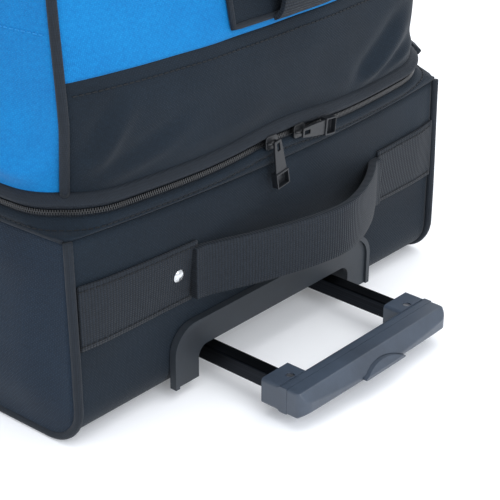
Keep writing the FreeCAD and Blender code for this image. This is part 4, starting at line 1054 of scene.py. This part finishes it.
# ---- rear hinge tape, ball cradle ----
for label, body, low, high, levels in (("lower", "lower_bag", 0.1600, 0.1756, lowerLevels),
                                       ("upper", "upper_bag", 0.1764, 0.1860, upperLevels)):
    def hingePoint(u, v, low=low, high=high, levels=levels):
        y = (u - 0.5) * 0.360
        z = low + (high - low) * v
        return Vector((-frontX(levels, y, z) - 0.0006 + (0.0 if levels is lowerLevels else 0.0004), y, z))
    tape = finishPiece("hingeTape_" + label, gridPatch(60, 6, hingePoint), finishes["webbing_black"], body,
                       [label + "_hinge_tape"], outward=False)
    addThickness(tape, 0.0008, 1.0)

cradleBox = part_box("ball_cradle")


def cradlePoint(u, v):
    low, high = cradleBox
    x = low.x + (high.x - low.x) * u
    y = low.y + (high.y - low.y) * v
    edge = smoothStep(min(u, 1 - u) / 0.03) * smoothStep(min(v, 1 - v) / 0.05)
    z = high.z - 0.006 * (1 - edge)
    for centre in (-0.117, 0.117):
        reach = math.hypot(x - centre, y)
        if reach < 0.1098:
            z = min(z, 0.3005 - math.sqrt(0.110 ** 2 - reach ** 2))
    return Vector((x, y, z))


bm = gridPatch(120, 70, cradlePoint)
border = [edge for edge in bm.edges if edge.is_boundary]
made = bmesh.ops.extrude_edge_only(bm, edges=border)["geom"]
for vert in made:
    if isinstance(vert, bmesh.types.BMVert):
        vert.co.z = cradleBox[0].z
bmesh.ops.holes_fill(bm, edges=[edge for edge in bm.edges if edge.is_boundary])
cradle = finishPiece("ballCradle", bm, finishes["foam"], "upper_bag", ["ball_cradle"])
print("lid, handles and cradle made")

# ---- floor, light and camera ----
# the floor glows a little (emission 0.14) so that the shadows cast on it come out paler: painted light, the floor is
# no lamp
floorFinish, tree, surface = newFinish("glowingStudioFloor", **{"Base Color": srgb("#f3f4f6"), "Roughness": 0.9,
                                                                 "Emission Color": srgb("#f6f8fa"),
                                                                 "Emission Strength": 0.14})
mottle = addNode(tree, "ShaderNodeTexNoise", inputs={"Scale": 2.0})
tree.links.new(colourRamp(tree, mottle.outputs[0], [(0.3, "#f0f1f4"), (0.7, "#f6f7f8")]),
               surface.inputs["Base Color"])
bm = bmesh.new()
bmesh.ops.create_grid(bm, x_segments=2, y_segments=2, size=6.0)
floorMesh = bpy.data.meshes.new("studioFloor")
bm.to_mesh(floorMesh)
bm.free()
floor = bpy.data.objects.new("studioFloor", floorMesh)
floorMesh.materials.append(floorFinish)
bpy.context.scene.collection.objects.link(floor)

world = bpy.data.worlds.new("paleStudio")
bpy.context.scene.world = world
world.use_nodes = True
world.node_tree.nodes["Background"].inputs["Color"].default_value = srgb("#eef1f6")
world.node_tree.nodes["Background"].inputs["Strength"].default_value = 1.12


def softLight(name, place, target, size, power, colour="#ffffff"):
    data = bpy.data.lights.new(name, "AREA")
    data.shape = "RECTANGLE"
    data.size, data.size_y = size
    data.energy = power
    data.color = srgb(colour)[:3]
    lamp = bpy.data.objects.new(name, data)
    heading = Vector(target) - Vector(place)
    lamp.matrix_world = Matrix.Translation(place) @ heading.to_track_quat("-Z", "Y").to_matrix().to_4x4()
    bpy.context.scene.collection.objects.link(lamp)


softLight("overheadSoftbox", (0.6, 0.2, 2.2), (0.2, 0, 0), (2.2, 2.2), 26, "#ffffff")
softLight("frontSoftbox", (1.9, -0.6, 1.1), (0.25, 0, 0.15), (1.2, 1.0), 16, "#f7faff")
softLight("sideFill", (-0.3, -2.0, 1.0), (0.1, 0, 0.15), (1.4, 1.0), 7, "#f4f8ff")

view = {"place": (0.9491, -0.7667, 0.5825), "yaw": 48.73, "pitch": 26.68, "roll": 0.32, "lens": 108.18}
yaw, pitch, roll = (math.radians(view[name]) for name in ("yaw", "pitch", "roll"))
forward = Vector((-math.cos(yaw) * math.cos(pitch), math.sin(yaw) * math.cos(pitch), -math.sin(pitch)))
right = forward.cross(Vector((0, 0, 1))).normalized()
up = right.cross(forward)
rightTurned = right * math.cos(roll) + up * math.sin(roll)
upTurned = up * math.cos(roll) - right * math.sin(roll)
cameraData = bpy.data.cameras.new("studioCamera")
cameraData.lens = view["lens"]
cameraData.sensor_width = 36.0
cameraData.clip_start = 0.05
camera = bpy.data.objects.new("studioCamera", cameraData)
axes = Matrix((rightTurned, upTurned, -forward)).transposed().to_4x4()
camera.matrix_world = Matrix.Translation(view["place"]) @ axes
bpy.context.scene.collection.objects.link(camera)
bpy.context.scene.camera = camera
bpy.context.scene.view_settings.view_transform = "Standard"
